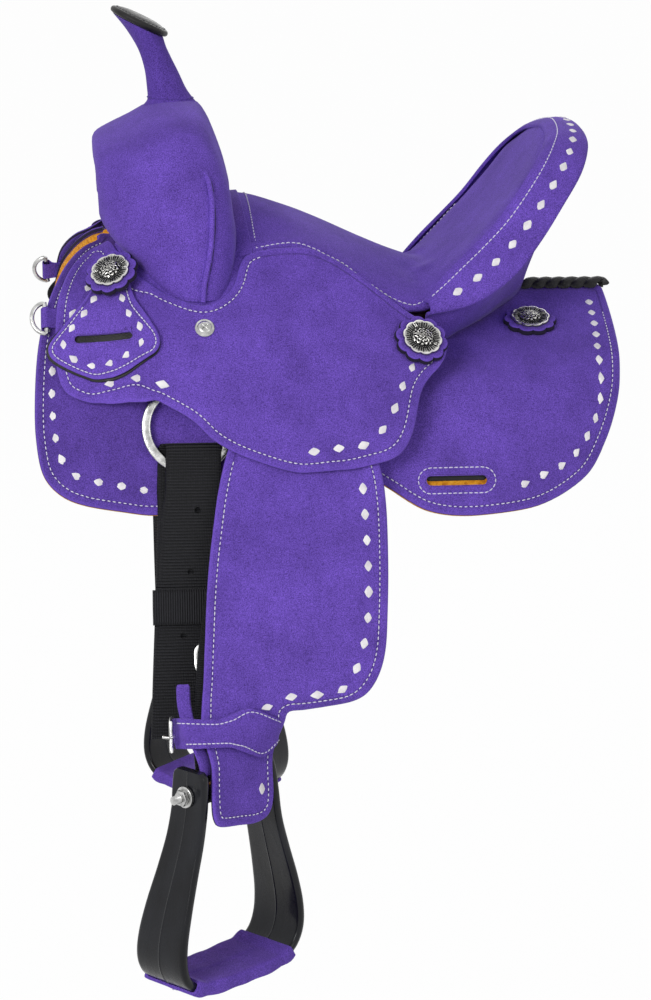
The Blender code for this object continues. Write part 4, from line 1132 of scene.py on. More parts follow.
# Partly painted shade: the black backing stands out only along the keeper's lower edge and lies under its
# slot.
backing = panel(in_metres(BACKING_LINE), on_jockey, 0.3 * MM, 1.7 * MM, roll=0.0)
pair("keeper_backing", backing, black_leather)
keeper = panel(
    keeper_line, on_jockey, keeper_low_side, keeper_high_side, 4 * MM, KEEPER_SEAM, 0.4 * MM,
)
tab_suede = suede("keeper_suede", 1.08, seam=KEEPER_SEAM)
pair("keeper_leather", without(keeper, loft(keeper_rows)), tab_suede, ["latigo_keeper"])
keeper_seams = seam_runs(
    keeper_line, on_jockey, keeper_high_side, KEEPER_SEAM, lambda x, s: s > 152 * MM,
)
stitched_pair("keeper", keeper_seams, gap=KEEPER_STITCH)
keeper_run = lozenge_run(
    [
        (-198.9, 147), (-205.5, 156), (-214.5, 166), (-222.5, 176), (-223.5, 186),
        (-214, 195.5), (-200.5, 201), (-183.5, 213.5), (-169.5, 230), (-158.5, 235.5),
        (-163.5, 218.5), (-170.8, 197), (-176, 174),
    ],
    on_jockey, keeper_high_side,
)
laced_pair(
    "keeper", [keeper_run], KEEPER_LACE_STEP, mark=lozenge_shape(*SMALL_LOZENGE), spread=0.15,
)


# Conchos: stamped silver flowers on scalloped suede rosettes, each screwed through the leather.
# The hollows of the engraving are blackened and the high points are rubbed bright.
ROSETTE_R = 22.0 * MM
ROSETTE_THICK = 4.6 * MM
CONCHO_R = 16.5 * MM
PETALS = 10
SCREW_R = 7.8 * MM
ROSETTE_SINK = 1.6 * MM
ROSETTE_LIFT = 0.5 * MM


def resting(place, x, s, h, radius):
    """Frame of a flat disc that rests on the surface without cutting into it."""
    level = h if callable(h) else lambda a, b: h
    at = place(x, s, level(x, s))
    along = place(x + radius, s, 0) - place(x - radius, s, 0)
    across = place(x, s + radius, 0) - place(x, s - radius, 0)
    out = across.cross(along).normalized()
    if out.z < 0:
        out.negate()
    rise = 0.0
    for a in turns(24):
        for r in (0.5 * radius, radius):
            x2 = x + r * math.cos(a)
            s2 = s + r * math.sin(a)
            rise = max(rise, (place(x2, s2, level(x2, s2)) - at).dot(out))
    x_axis = (along - out * along.dot(out)).normalized()
    axes = Matrix((x_axis, out.cross(x_axis), out)).transposed().to_4x4()
    axes.translation = at + out * rise
    return axes


def scallop(angle, depth):
    return 1 - depth * (1 - abs(math.cos(PETALS / 2 * angle)) ** 0.75)


def rosette_mesh(axes):
    """Scalloped disc of two leathers: the lower one black, the upper one suede."""
    rows = []
    wear = []
    sides = (
        (0.95, 0.0, -3), (1.02, 0.2, -3), (1.03, 1.2, -3), (1.02, 2.2, -3), (0.99, 2.4, -3),
        (0.99, 3.6, -1.4), (0.975, 4.25, 0.2), (0.94, 4.55, 1.0), (0.8, 4.6, 4), (0.5, 4.6, 9),
        (0.1, 4.6, 12),
    )
    for share, high, edge in sides:
        ring = []
        for a in turns(120):
            r = ROSETTE_R * share * scallop(a, 0.12)
            ring.append(axes @ Vector((r * math.cos(a), r * math.sin(a), high * MM)))
        rows.append(ring)
        wear.append([edge * MM] * 120)
    return loft(rows, attribute=("edge", wear))


def engraving(reach, angle):
    """Height in millimetres and share of black of the stamped flower."""
    lobe = abs(math.cos(PETALS / 2 * angle))
    if reach > 0.62:
        across = (reach - 0.62) / 0.38
        rim = max(ease(0.7, 0.84, across), ease(0.5, 0.3, lobe) * ease(0.14, 0.06, 0.3 - lobe))
        vein = (0.5 + 0.5 * math.cos(5 * PETALS * angle)) * (1 - ease(0.35, 0.75, across))
        high = 1.2 + 0.5 * math.sin(math.pi * across) + 0.55 * rim - 0.2 * vein
        return high, 1 - max(rim, 0.75 * ease(0.3, 0.9, lobe) * (1 - vein))
    if reach > 0.55:
        bead = 0.5 + 0.5 * math.cos(4 * PETALS * angle)
        side = math.sin(math.pi * (reach - 0.55) / 0.07)
        return 1.7 + 0.7 * bead * side, 1 - 0.8 * bead * side
    dome = 2.2 + 2.5 * math.cos(0.5 * math.pi * reach / 0.55) ** 0.8
    leaf = math.sin(8 * angle + 24 * reach) * math.cos(6 * angle - 15 * reach)
    curl = math.sin(36 * reach - 3 * math.cos(6 * angle))
    depth = ease(-0.1, 0.3, 0.6 * leaf + 0.4 * curl)
    depth = max(depth, 0.7 * (1 - ease(0.05, 0.1, reach)))
    return dome - 0.75 * (1 - depth), 1 - 0.9 * depth


def concho_mesh(axes):
    rows = []
    black = []
    for share, high in ((0.93, 0.0), (1.0, 0.25), (1.0, 0.8)):
        ring = []
        for a in turns(180):
            r = CONCHO_R * share * scallop(a, 0.08)
            ring.append(axes @ Vector((r * math.cos(a), r * math.sin(a), high * MM)))
        rows.append(ring)
        black.append([0.5] * 180)
    for n in range(34):
        reach = 1 - 0.965 * n / 33
        ring = []
        line = []
        for a in turns(180):
            r = CONCHO_R * 0.985 * reach * scallop(a, 0.08 * reach)
            high, dark = engraving(reach, a)
            ring.append(axes @ Vector((r * math.cos(a), r * math.sin(a), high * MM)))
            line.append(dark)
        rows.append(ring)
        black.append(line)
    return loft(rows, attribute=("black", black))


silver, tree, shader, place = new_finish("antique_silver", 0.26, Metallic=1.0)
dark = add(tree, "ShaderNodeAttribute", {"attribute_name": "black"}).outputs["Fac"]
stain = noise(tree, place, 900.0, 3.0)
soot = add(
    tree, "ShaderNodeMath", {"operation": "ADD", "use_clamp": True},
    n0=dark, n1=span(tree, stain, 0.5, 0.8, 0.0, 0.35),
).outputs[0]
tone = ramp(
    tree, soot,
    (0.15, (0.66, 0.65, 0.62)), (0.5, (0.13, 0.13, 0.13)), (0.85, (0.008, 0.008, 0.009)),
)
tree.links.new(tone, shader.inputs["Base Color"])
tree.links.new(span(tree, soot, 0.2, 0.8, 0.22, 0.7), shader.inputs["Roughness"])
raise_by(tree, shader, stain, 0.08 * MM)

rosette_suede = suede("rosette_suede", 0.85, seam=None)
for stem, surface, x, s, level in (
    ("front", on_jockey, -182, 143, lambda x, s: keeper_high_side(x, s) - ROSETTE_SINK),
    ("seat", on_jockey, 65, 206, ROSETTE_LIFT),
    ("rear", on_skirt, 167, 66.5, ROSETTE_LIFT),
):
    seat = resting(surface, x * MM, s * MM, level, ROSETTE_R)
    pair(
        f"rosette_leather_{stem}", rosette_mesh(seat), rosette_suede,
        [f"rosette_{stem}"],
    )
    top = seat @ Matrix.Translation((0, 0, ROSETTE_THICK + LAYER_GAP))
    pair(f"concho_silver_{stem}", concho_mesh(top), silver, [f"concho_{stem}"], crease=50)


# Jockey screws: domed steel wood screws with a cross slot, one in each jockey behind the fork.
# They are turned, nickel plated and a little scratched by the driver.
def metal(name, colour, rough):
    finish, tree, shader, place = new_finish(name, rough, Metallic=1.0)
    cloud = noise(tree, place, 160.0, 3.0)
    scratch = noise(tree, place, 900.0, 2.0, (1, 0.06, 1))
    deep = tuple(c * 0.55 for c in colour)
    tree.links.new(ramp(tree, cloud, (0.35, deep), (0.65, colour)), shader.inputs["Base Color"])
    wipe = span(tree, scratch, 0.35, 0.7, rough * 0.75, rough * 1.5)
    tree.links.new(wipe, shader.inputs["Roughness"])
    raise_by(tree, shader, scratch, 0.05 * MM)
    return finish


steel = metal("nickel_steel", (0.64, 0.64, 0.63), 0.26)


def turned(profile, count, axes):
    """Turned piece: profile of (radius, height) from the foot up, on the frame's z axis."""
    return loft([
        [axes @ Vector((r * math.cos(a), r * math.sin(a), h)) for a in turns(count)]
        for r, h in profile
    ])


screw_at = resting(on_jockey, -111 * MM, 232 * MM, 0.4 * MM, SCREW_R)
screw_side = in_metres([
    (7.2, 0), (7.8, 0.35), (7.8, 0.8), (7.4, 1.15), (6.1, 1.2), (5.7, 1.5), (5.2, 2.2), (4.2, 2.7),
    (3.0, 2.95), (1.5, 3.05), (0.2, 3.1),
])
screw = turned(screw_side, 48, screw_at)
for turn in (45, 135):
    cross = screw_at @ Matrix.Rotation(math.radians(turn), 4, "Z")
    blade = [
        [
            cross @ Vector((x * MM, y * MM, z * MM))
            for x, y in ((-3.4, -0.55), (3.4, -0.55), (3.4, 0.55), (-3.4, 0.55))
        ]
        for z in (2.1, 6)
    ]
    screw = without(screw, loft(blade))
pair("jockey_screw_steel", screw, steel, ["jockey_screw"], crease=30)


# Fork: the swell that carries the horn, covered with one suede drawn over the wood.
# A welt runs down each side, in a lighter suede that is a painted highlight, with a black wire beside it
# for the seam and the painted shadow line of its groove, and is tucked in at the bottom.
# The foot of the cover is tucked under the jockeys.
COVER_THICK = 3.0 * MM
WELT_R = 2.3 * MM
WELT_LIFT = 0.9
WELT_TUCK = 4
# Where and how thick the black wire lies that stands for the welt's seam and the painted shadow line of its
# groove.
WELT_SEAM = 0.017
SEAM_R = 0.5 * MM
# Shares of the way across the fork and of the way from its front foot to its rear foot.
WELT = [
    (0.0, 0.611), (0.107, 0.645), (0.214, 0.70), (0.268, 0.722), (0.304, 0.716), (0.325, 0.685),
]
# Stations from the middle out: y, height, bulge, front and rear edge; then their lean in degrees.
FORK = in_metres([
    (0, 137, 29, -194, -86), (48, 133, 28, -193, -86), (88, 121, 29, -192, -87),
    (108, 93, 30, -189, -86), (112, 68, 27, -181, -84), (112, 50, 25, -165, -85),
    (113, 37, 24, -157, -87), (116, 24, 20.5, -147, -90),
])
FORK_LEAN = (0, 7, 30, 67, 90, 93, 98, 101)
# Section of the fork at its top and at its side: share along, share of the bulge.
FORK_TOP = [
    (-0.92, -1.0), (-0.98, -0.6), (-1.0, -0.2), (-0.98, 0.08), (-0.8, 0.3), (-0.45, 0.62),
    (-0.15, 0.92), (0.15, 1.04), (0.5, 1.0), (0.66, 0.7), (0.80, 0.1), (0.90, -0.45), (0.97, -1.0),
]
FORK_SIDE = [
    (-1.0, -1.0), (-0.99, -0.7), (-0.94, -0.3), (-0.84, 0.1), (-0.68, 0.45), (-0.46, 0.74),
    (-0.18, 0.93), (0.15, 1.0), (0.45, 0.95), (0.7, 0.76), (0.87, 0.4), (0.96, -0.2), (1.0, -1.0),
]


def fork_grid():
    """Points of the cover from the left foot over the top to the right foot."""
    half = [(*row, lean) for row, lean in zip(FORK, FORK_LEAN)]
    stations = [(-row[0], *row[1:]) for row in half[::-1]] + half[1:]
    top = smooth_line(FORK_TOP, 3)
    low = smooth_line(FORK_SIDE, 3)
    grid = []
    for y, z, thick, front, rear, lean in smooth_line(stations, 4):
        side = 1 if y > 0 else -1
        tilt = math.radians(lean)
        out = Vector((0, side * math.sin(tilt), math.cos(tilt)))
        share = ease(8, 65, lean)
        row = []
        for a, b in zip(top, low):
            along = mix(a[0], b[0], share)
            away = mix(a[1], b[1], share)
            x = 0.5 * (front + rear) + 0.5 * (rear - front) * along
            row.append(Vector((x, y, z)) + out * thick * away)
        grid.append(row)
    return grid


def grid_normal(grid, i, j):
    """Direction square to the grid: out of the seat and cantle, into the fork."""
    du = grid[min(i + 1, len(grid) - 1)][j] - grid[max(i - 1, 0)][j]
    dv = grid[i][min(j + 1, len(grid[0]) - 1)] - grid[i][max(j - 1, 0)]
    return du.cross(dv).normalized()


def shell(grid, inside):
    """Patch of points thickened against its direction into a body with a rounded edge."""
    rows = len(grid)
    cols = len(grid[0])
    layers = [[], []]
    for i in range(rows):
        for layer, level in zip(layers, (0.0, -inside)):
            layer.append([grid[i][j] + grid_normal(grid, i, j) * level for j in range(cols)])
    bm = bmesh.new()
    made = [[[bm.verts.new(p) for p in row] for row in layer] for layer in layers]
    for layer in made:
        for i in range(rows - 1):
            for j in range(cols - 1):
                bm.faces.new((layer[i][j], layer[i][j + 1], layer[i + 1][j + 1], layer[i + 1][j]))
    edge = [(0, j) for j in range(cols)]
    edge += [(i, cols - 1) for i in range(1, rows)]
    edge += [(rows - 1, j) for j in range(cols - 2, -1, -1)]
    edge += [(i, 0) for i in range(rows - 2, 0, -1)]
    middles = []
    for i, j in edge:
        back = grid[min(max(i, 1), rows - 2)][min(max(j, 1), cols - 2)]
        out = (grid[i][j] - back).normalized() * inside * 0.3
        middles.append(bm.verts.new(0.5 * (layers[0][i][j] + layers[1][i][j]) + out))
    for k, (a, b) in enumerate(edge):
        n = (k + 1) % len(edge)
        c, d = edge[n]
        bm.faces.new((made[0][a][b], made[0][c][d], middles[n], middles[k]))
        bm.faces.new((middles[k], middles[n], made[1][c][d], made[1][a][b]))
    return outward_mesh(bm, "shell")


def grid_at(grid, u, w):
    """Point and direction of the grid at shares of its rows and columns."""
    i = min(u * (len(grid) - 1), len(grid) - 1.001)
    j = min(w * (len(grid[0]) - 1), len(grid[0]) - 1.001)
    a, b = int(i), int(j)
    near = grid[a][b].lerp(grid[a][b + 1], j - b)
    far = grid[a + 1][b].lerp(grid[a + 1][b + 1], j - b)
    return near.lerp(far, i - a), grid_normal(grid, a, b)


def wire(path, radius, sides=10, closed=False, flat=1.0):
    """Round or flattened rod along a path."""
    path = [Vector(p) for p in path]
    rows = []
    side = None
    for k, p in enumerate(path):
        before = path[k - 1] if closed or k else p
        after = path[(k + 1) % len(path)] if closed or k < len(path) - 1 else p
        go = (after - before).normalized()
        if side is None:
            side = go.orthogonal().normalized()
        side = (side - go * side.dot(go)).normalized()
        up = go.cross(side)
        rows.append([
            p + side * radius * math.cos(a) + up * radius * flat * math.sin(a)
            for a in turns(sides)
        ])
    return loft(rows, wrap=closed)


plain_suede = suede("fork_suede", edged=False)
fork = fork_grid()
settle("fork_suede_cover", shell(fork, COVER_THICK), plain_suede, ["fork_cover"])
# Painted highlight: the welt's suede is a lighter copy of the fork's, and the black wire beside it is seam
# and painted shadow.
welt_suede_painted_highlight = suede("welt_suede_painted_highlight", 1.1, edged=False)
for side, turned_over in (("left", False), ("right", True)):
    for stem, radius, shift, finish in (
        ("fork_welt", WELT_R, 0, welt_suede_painted_highlight), ("fork_seam", SEAM_R, WELT_SEAM, black_leather),
    ):
        path = []
        for u, w in smooth_line(WELT, 8):
            at, inwards = grid_at(fork, 1 - u if turned_over else u, w + shift)
            lift = WELT_LIFT * (shift == 0) - WELT_TUCK * ease(0.3, 0.325, u)
            path.append(at - inwards * (COVER_THICK + lift * MM))
        settle(f"{stem}_{side}", wire(path, radius), finish)


# Gussets: suede pieces that close the gap between the fork's rear edge, seat and jockeys.
# Each is tucked under the jockey's cut-out, and the riser is glued under the front of the seat.
GUSSET_LINE = [
    (-62, 148), (-80, 153), (-90, 168), (-95, 186), (-103, 197), (-112, 200.5), (-126, 196),
    (-140, 182), (-147, 160), (-150, 130), [-152, 98], [-190, 98], (-186, 125), (-180, 150),
    (-168, 180), (-150, 202), (-129, 214), (-110, 219), (-91, 213), (-78, 200), (-70, 180),
    (-60, 168),
]
gusset = panel(in_metres(GUSSET_LINE), on_jockey, -6 * MM, -3.5 * MM, roll=0.0)
pair("fork_gusset", gusset, plain_suede)
RISER_THICK = 2.2 * MM
RISER_HALF = 107
SEAT_DOME = 2.3
riser = []
for back, down in ((7, -3), (-1, -3.5), (-7, -6), (-10.5, -12), (-12, -24)):
    row = []
    for k in range(41):
        f = mix(-1, 1, k / 40)
        g = abs(f) ** SEAT_DOME
        row.append(Vector((mix(-82, -76, g) + back, RISER_HALF * f, mix(92, 55, g) + down)) * MM)
    riser.append(row)
settle("seat_riser", shell(riser, RISER_THICK), plain_suede)


# Horn: a leaning neck wrapped in suede, laced up the front, and a tilted cap.
# The cap is black leather drawn over a plate and stitched round its bound edge.
# Rings of the neck: x, height, half length, half width, and tilt in degrees.
NECK = [
    (-130, 165.5, 23, 24, 0), (-130.5, 170, 19.5, 20, 1), (-134, 180, 16.5, 17, 4),
    (-138, 194, 14.5, 15, 8), (-143.5, 208, 14.5, 15.5, 16), (-150, 220, 18, 19.5, 24),
    (-157, 231.5, 23, 25, 26),
]
CAP_TILT = math.radians(26)
CAP_MIDDLE = Vector((-157.2, 0, 232)) * MM
CAP_SEAM_R = 22.2 * MM
CAP_SEAM_HIGH = 5.7 * MM
neck_rows = []
for x, z, long, wide, tilt in smooth_line(NECK, 6):
    turn = math.radians(tilt)
    neck_rows.append([
        Vector((
            x + long * math.cos(a) * math.cos(turn),
            wide * math.sin(a),
            z - long * math.cos(a) * math.sin(turn),
        )) * MM
        for a in turns(48)
    ])
horn_suede = suede("horn_suede", 0.84, edged=False)
settle("horn_neck_suede", loft(neck_rows), horn_suede, ["horn_neck"])

neck_seam = []
for row in neck_rows[5:-2]:
    middle = sum(row, Vector()) / len(row)
    neck_seam.append((row[20], (row[20] - middle).normalized()))
foot_middle = sum(neck_rows[7], Vector()) / 48
foot_seam = [(p, (p - foot_middle).normalized()) for p in neck_rows[7]]
horn_thread = leather("horn_thread", (0.05, 0.026, 0.16), 0.6, 0.1 * MM)
settle(
    "horn_stitches", repeat([(neck_seam, False), (foot_seam, True)], STITCHING, STITCH, horn_thread),
    None,
)

cap_axes = Matrix.Translation(CAP_MIDDLE) @ Matrix.Rotation(CAP_TILT, 4, "Y")
cap_axes = cap_axes @ Matrix.Diagonal((1, 1.08, 1, 1))
cap_side = in_metres([
    (20, 0.2), (23.5, 0.2), (25.2, 0.9), (26, 2.2), (26, 3.6), (25.4, 4.8), (24.2, 5.6), (23.0, 5.9),
    (22.2, 5.7), (21.4, 6.2), (18, 7.3), (14, 8.0), (9, 8.25), (4, 8.3), (0.3, 8.3),
])
settle("horn_cap_leather", turned(cap_side, 72, cap_axes), black_leather, ["horn_cap"])
cap_up = cap_axes.to_3x3() @ Vector((0, 0, 1))
cap_ring = [
    (cap_axes @ Vector((CAP_SEAM_R * math.cos(a), CAP_SEAM_R * math.sin(a), CAP_SEAM_HIGH)), cap_up)
    for a in turns(60)
]
dark_thread = leather("dark_thread", (0.03, 0.03, 0.032), 0.6, 0.1 * MM)
settle(
    "horn_cap_stitches", repeat([(cap_ring, True)], STITCHING, STITCH, dark_thread),
    None,
)


# Seat: a foam pad under suede from the fork to the top of the cantle.
# It is blown up softly by a cloth simulation, then stitched along its sides.
SEAT_THICK = 12.0 * MM
SEAT_VOXEL = 5.0 * MM
SEAT_PUFF = 4.0 * MM
SEAT_ACROSS = 41
SEAT_STEPS = 4
# Each row's middle and its edge.
SEAT_ROWS = [
    ((-82, 0, 92), (-76, 107, 55)), ((-60, 0, 87), (-58, 105, 60)), ((-30, 0, 75), (-30, 102, 62)),
    ((0, 0, 62), (2, 105, 48)), ((34, 0, 46), (34, 112, 24)), ((66, 0, 34), (58, 117, 11)),
    ((92, 0, 38), (73, 111, 13)), ((116, 0, 54), (92, 110, 33)), ((137, 0, 76), (116, 110, 58)),
    ((157, 0, 101), (138, 111, 81)), ((175, 0, 127), (155, 108, 104)),
    ((191, 0, 150), (170, 95, 124)),
]


def seat_grid(drop):
    centres = smooth_line([row[0] for row in SEAT_ROWS], SEAT_STEPS)
    edges = smooth_line([row[1] for row in SEAT_ROWS], SEAT_STEPS)
    grid = []
    for centre, edge in zip(centres, edges):
        row = []
        for k in range(SEAT_ACROSS):
            f = mix(-1, 1, k / (SEAT_ACROSS - 1))
            g = abs(f) ** SEAT_DOME
            row.append(Vector((
                mix(centre[0], edge[0], g), edge[1] * f, mix(centre[2], edge[2], g),
            )) * MM)
        grid.append(row)
    return [
        [p - grid_normal(grid, i, j) * drop for j, p in enumerate(row)]
        for i, row in enumerate(grid)
    ]


def blown_up(mesh, voxel, cap, pinned):
    """Foam pad: remeshed, pressed outwards as cloth, moved no further than the cap."""
    start = linked("pad", mesh)
    remesh = start.modifiers.new("remesh", "REMESH")
    remesh.mode = "VOXEL"
    remesh.voxel_size = voxel
    even_mesh = worked_out(start)
    bpy.data.objects.remove(start, do_unlink=True)
    pad = linked("pad", even_mesh)
    rest = [v.co.copy() for v in even_mesh.vertices]
    held = pad.vertex_groups.new(name="held")
    held.add([k for k, p in enumerate(rest) if pinned(p)], 1.0, "REPLACE")
    cloth = pad.modifiers.new("cloth", "CLOTH")
    cloth.settings.quality = 5
    cloth.settings.mass = 0.3
    cloth.settings.tension_stiffness = 18
    cloth.settings.compression_stiffness = 18
    cloth.settings.bending_stiffness = 1.2
    cloth.settings.use_pressure = True
    cloth.settings.uniform_pressure_force = 4
    cloth.settings.vertex_group_mass = "held"
    cloth.settings.effector_weights.gravity = 0
    for step in range(1, 21):
        bpy.context.scene.frame_set(step)
    seen = pad.evaluated_get(bpy.context.evaluated_depsgraph_get())
    swollen = [v.co.copy() for v in seen.data.vertices]
    pad.modifiers.remove(cloth)
    bpy.context.scene.frame_set(1)
    for v, a, b in zip(even_mesh.vertices, rest, swollen):
        go = b - a
        v.co = a + go.normalized() * min(go.length, cap(a))
    smooth = pad.modifiers.new("smooth", "CORRECTIVE_SMOOTH")
    smooth.use_only_smooth = True
    smooth.iterations = 4
    finer = pad.modifiers.new("finer", "SUBSURF")
    finer.levels = 1
    finer.render_levels = 1
    done = worked_out(pad)
    bpy.data.objects.remove(pad, do_unlink=True)
    return done


seat_top = seat_grid(0.0)
seat_tree = BVHTree.FromPolygons(
    [p for row in seat_top for p in row],
    [
        (i * SEAT_ACROSS + j, i * SEAT_ACROSS + j + 1, (i + 1) * SEAT_ACROSS + j + 1,
         (i + 1) * SEAT_ACROSS + j)
        for i in range(len(seat_top) - 1) for j in range(SEAT_ACROSS - 1)
    ],
)


def seat_depth(p):
    """How far a point lies below the seat's upper face."""
    at, out, face, away = seat_tree.find_nearest(p)
    return away


def seat_cap(p):
    """Most on the open middle of the upper face, none below or near the sides."""
    side = 1 - ease(80 * MM, 100 * MM, abs(p.y))
    return SEAT_PUFF * (1 - ease(3 * MM, 7 * MM, seat_depth(p))) * (0.4 + 0.6 * side)


seat_suede = suede("seat_suede", 0.95, edged=False)
seat_pad = blown_up(
    shell(seat_grid(1.2 * MM), SEAT_THICK - 2 * MM), SEAT_VOXEL, seat_cap,
    lambda p: seat_depth(p) > 6.5 * MM,
)
seat = settle("seat_pad", seat_pad, seat_suede, ["seat_cover"], crease=70)

pad_tree = BVHTree.FromPolygons(
    [v.co for v in seat_pad.vertices], [tuple(f.vertices) for f in seat_pad.polygons],
)


def on_pad(points):
    """Points pressed onto the pad's face, each with the direction off it."""
    out = []
    for p, up in points:
        at, face_out, face, away = pad_tree.ray_cast(p + up * 12 * MM, -up, 30 * MM)
        out.append((at if at else p, face_out if at else up))
    return out


def seat_line(stops):
    """Line on the seat through (row, share across) stops."""
    points = []
    for row, across in even(smooth_line(stops, 8), 0.12, False):
        along = row * SEAT_STEPS / (len(seat_top) - 1)
        points.append(grid_at(seat_top, along, 0.5 + 0.5 * across))
    return on_pad([(p, out if out.z > 0 else -out) for p, out in points])


SIDE_SEAM = [(0.62, 0.975), (3.0, 0.965), (6.0, 0.96), (8.2, 0.94)]
FRONT_SEAM = [(0.6, 0.975), (0.66, 0.4), (0.66, -0.4), (0.6, -0.975)]
seat_seams = [
    (seat_line([(row, side * across) for row, across in SIDE_SEAM]), False) for side in (-1, 1)
]
seat_seams.append((seat_line(FRONT_SEAM), False))
settle("seat_stitches", repeat(seat_seams, STITCHING, STITCH, thread), None)


# Cantle: a padded suede band rolled over the rim behind the seat and down to the skirts.
# It is stitched along its inner edge and laced with lozenges all the way round.
CANTLE_LACE_STEP = 19 * MM
CANTLE_WIDE = 111 * MM
# Points from the middle round one side: inner rim, outer rim, and foot of the back wall.
CREST = [
    (189, 0, 147), (186, 42, 143), (179, 70, 136), (167, 94, 121), (153, 106, 102),
    (135, 110, 78), (116, 110, 58), (98, 110, 40), (85, 110, 26), (72, 111, 12),
]
OUTER = [
    (214, 0, 145), (215, 44, 140), (212, 72, 131), (202, 98, 114), (185, 113, 90),
    (168, 118, 64), (148, 121, 38), (125, 123, 20), (104, 123, 10), (76, 122, 4),
]
FOOT = [
    (170, 0), (164, 16), (155, 29), (145, 40), (136, 50),
    (126, 60), (116, 69), (105, 78), (93, 89), (79, 98),
]


def rim_line(points):
    half = [(x, -y, z) for x, y, z in points[::-1]]
    return [Vector(p) * MM for p in half + points[1:]]


feet = [(x, -y) for x, y in FOOT[::-1]] + FOOT[1:]
columns = []
for a, b, (foot_x, foot_y) in zip(rim_line(CREST), rim_line(OUTER), feet):
    share = abs(a.y) / CANTLE_WIDE
    side = math.copysign(1, a.y) if a.y else 0
    out = Vector((0.35, 0.7 * side * share, 1.0)).normalized()
    foot_z = skirt_z(foot_x * MM, abs(foot_y) * MM) + 2.2 * MM
    foot = Vector((foot_x * MM, foot_y * MM, foot_z))
    tuck = b - out * 6 * MM + (foot - b).normalized() * 1 * MM - (b - a).normalized() * 4 * MM
    columns.append([
        foot, tuck.lerp(foot, 0.65), tuck.lerp(foot, 0.3), tuck, b,
        a.lerp(b, 0.75) + out * 4.2 * MM, a.lerp(b, 0.35) + out * 5.2 * MM,
        a + out * 2.6 * MM + (b - a) * 0.04,
        a + (a - b).normalized() * 4 * MM - out * 3 * MM,
    ])
lengthwise = [smooth_line([tuple(row[j]) for row in columns], 5) for j in range(9)]
cantle = []
for station in zip(*lengthwise):
    cantle.append([Vector(p) for p in smooth_line(list(station), 4)])
cantle_pad = settle(
    "cantle_band", shell(cantle, COVER_THICK), plain_suede, ["cantle_cover"], crease=60,
)


def band_line(across, end):
    """Run along the band from one end to the other, a share across it."""
    return [grid_at(cantle, mix(end, 1 - end, k / 160), across) for k in range(161)], False


band_stitches = repeat([band_line(0.835, 0.02)], STITCHING, STITCH, thread)
settle("cantle_stitches", band_stitches, None)
band_lozenges = repeat([band_line(0.69, 0.06)], LOZENGE, CANTLE_LACE_STEP, lacing, 0.1)
settle("cantle_lozenges", band_lozenges, None)


# Ridge lacing: a black leather lace whipped over the edges of both skirts behind the cantle.
# Each slanting turn is drawn tight over the last, and the tail is tucked under at the rear.
LACE_START = 176.5 * MM
LACE_END = 236.5 * MM
LACE_TURN = 10.5 * MM
LACE_HALF = 9.0 * MM
LACE_SLANT = 7.5 * MM
LACE_WIDE = 5.6 * MM
LACE_THICK = 2.3 * MM


def lace_shape():
    """One turn: a flat lace arched over the ridge, its ends dipping into the skirts."""
    rows = []
    for k in range(13):
        t = k / 12 * 2 - 1
        high = (4.9 * math.cos(0.5 * math.pi * t) ** 0.7 - 1.4) * MM if abs(t) < 1 else -1.4 * MM
        middle = Vector((t * LACE_SLANT, t * LACE_HALF, high))
        row = []
        for a in turns(8):
            row.append(middle + Vector((LACE_WIDE * math.cos(a), 0, LACE_THICK * math.sin(a))))
        rows.append(row)
    return loft(rows)


ridge = []
for k in range(25):
    x = mix(LACE_START + 2 * MM, LACE_END - 2 * MM, k / 24)
    ridge.append((Vector((x, 0, skirt_z(x, 0) + 0.9 * MM)), Vector((0.04, 0, 1))))
lace = repeat([(ridge, False)], lace_shape(), LACE_TURN, black_leather)
settle("ridge_lacing", lace, None, ["skirt_lace"], crease=60)
tail_path = []
for k in range(15):
    a = math.radians(mix(70, 250, k / 14))
    tail_path.append(Vector((
        LACE_END + 0.6 * MM + 1.9 * MM * math.sin(a * 0.5),
        -6.4 * MM * math.cos(a),
        skirt_z(LACE_END, 0) + 0.6 * MM + 2.8 * MM * math.sin(a),
    )))
settle("lacing_tail", wire(tail_path, 2.6 * MM, 10, flat=0.42), black_leather)


# Breast collar dees: bent steel wire at the front edge, held by small folded suede tabs.
# Each dee hinges on its straight side inside the fold of its tab.
DEE_X = -238 * MM
DEE_S = 150 * MM
DEE_H = 4.2 * MM
DEE_WIRE = 1.9 * MM
DEE_DEEP = 11 * MM
DEE_HALF = 13 * MM
TAB_HALF = 8 * MM
dee_axes = spot(on_skirt, DEE_X, DEE_S, DEE_H)
dee_path = []
for k in range(33):
    a = math.radians(mix(-90, 90, k / 32))
    dee_path.append(dee_axes @ Vector((-DEE_DEEP * math.cos(a), DEE_HALF * math.sin(a), 0)))
for k in range(1, 8):
    dee_path.append(dee_axes @ Vector((0, mix(DEE_HALF, -DEE_HALF, k / 8), 0)))
pair(
    "breast_dee_steel", wire(dee_path, DEE_WIRE, 14, closed=True), steel,
    ["breast_dee"], "breast_dee",
)


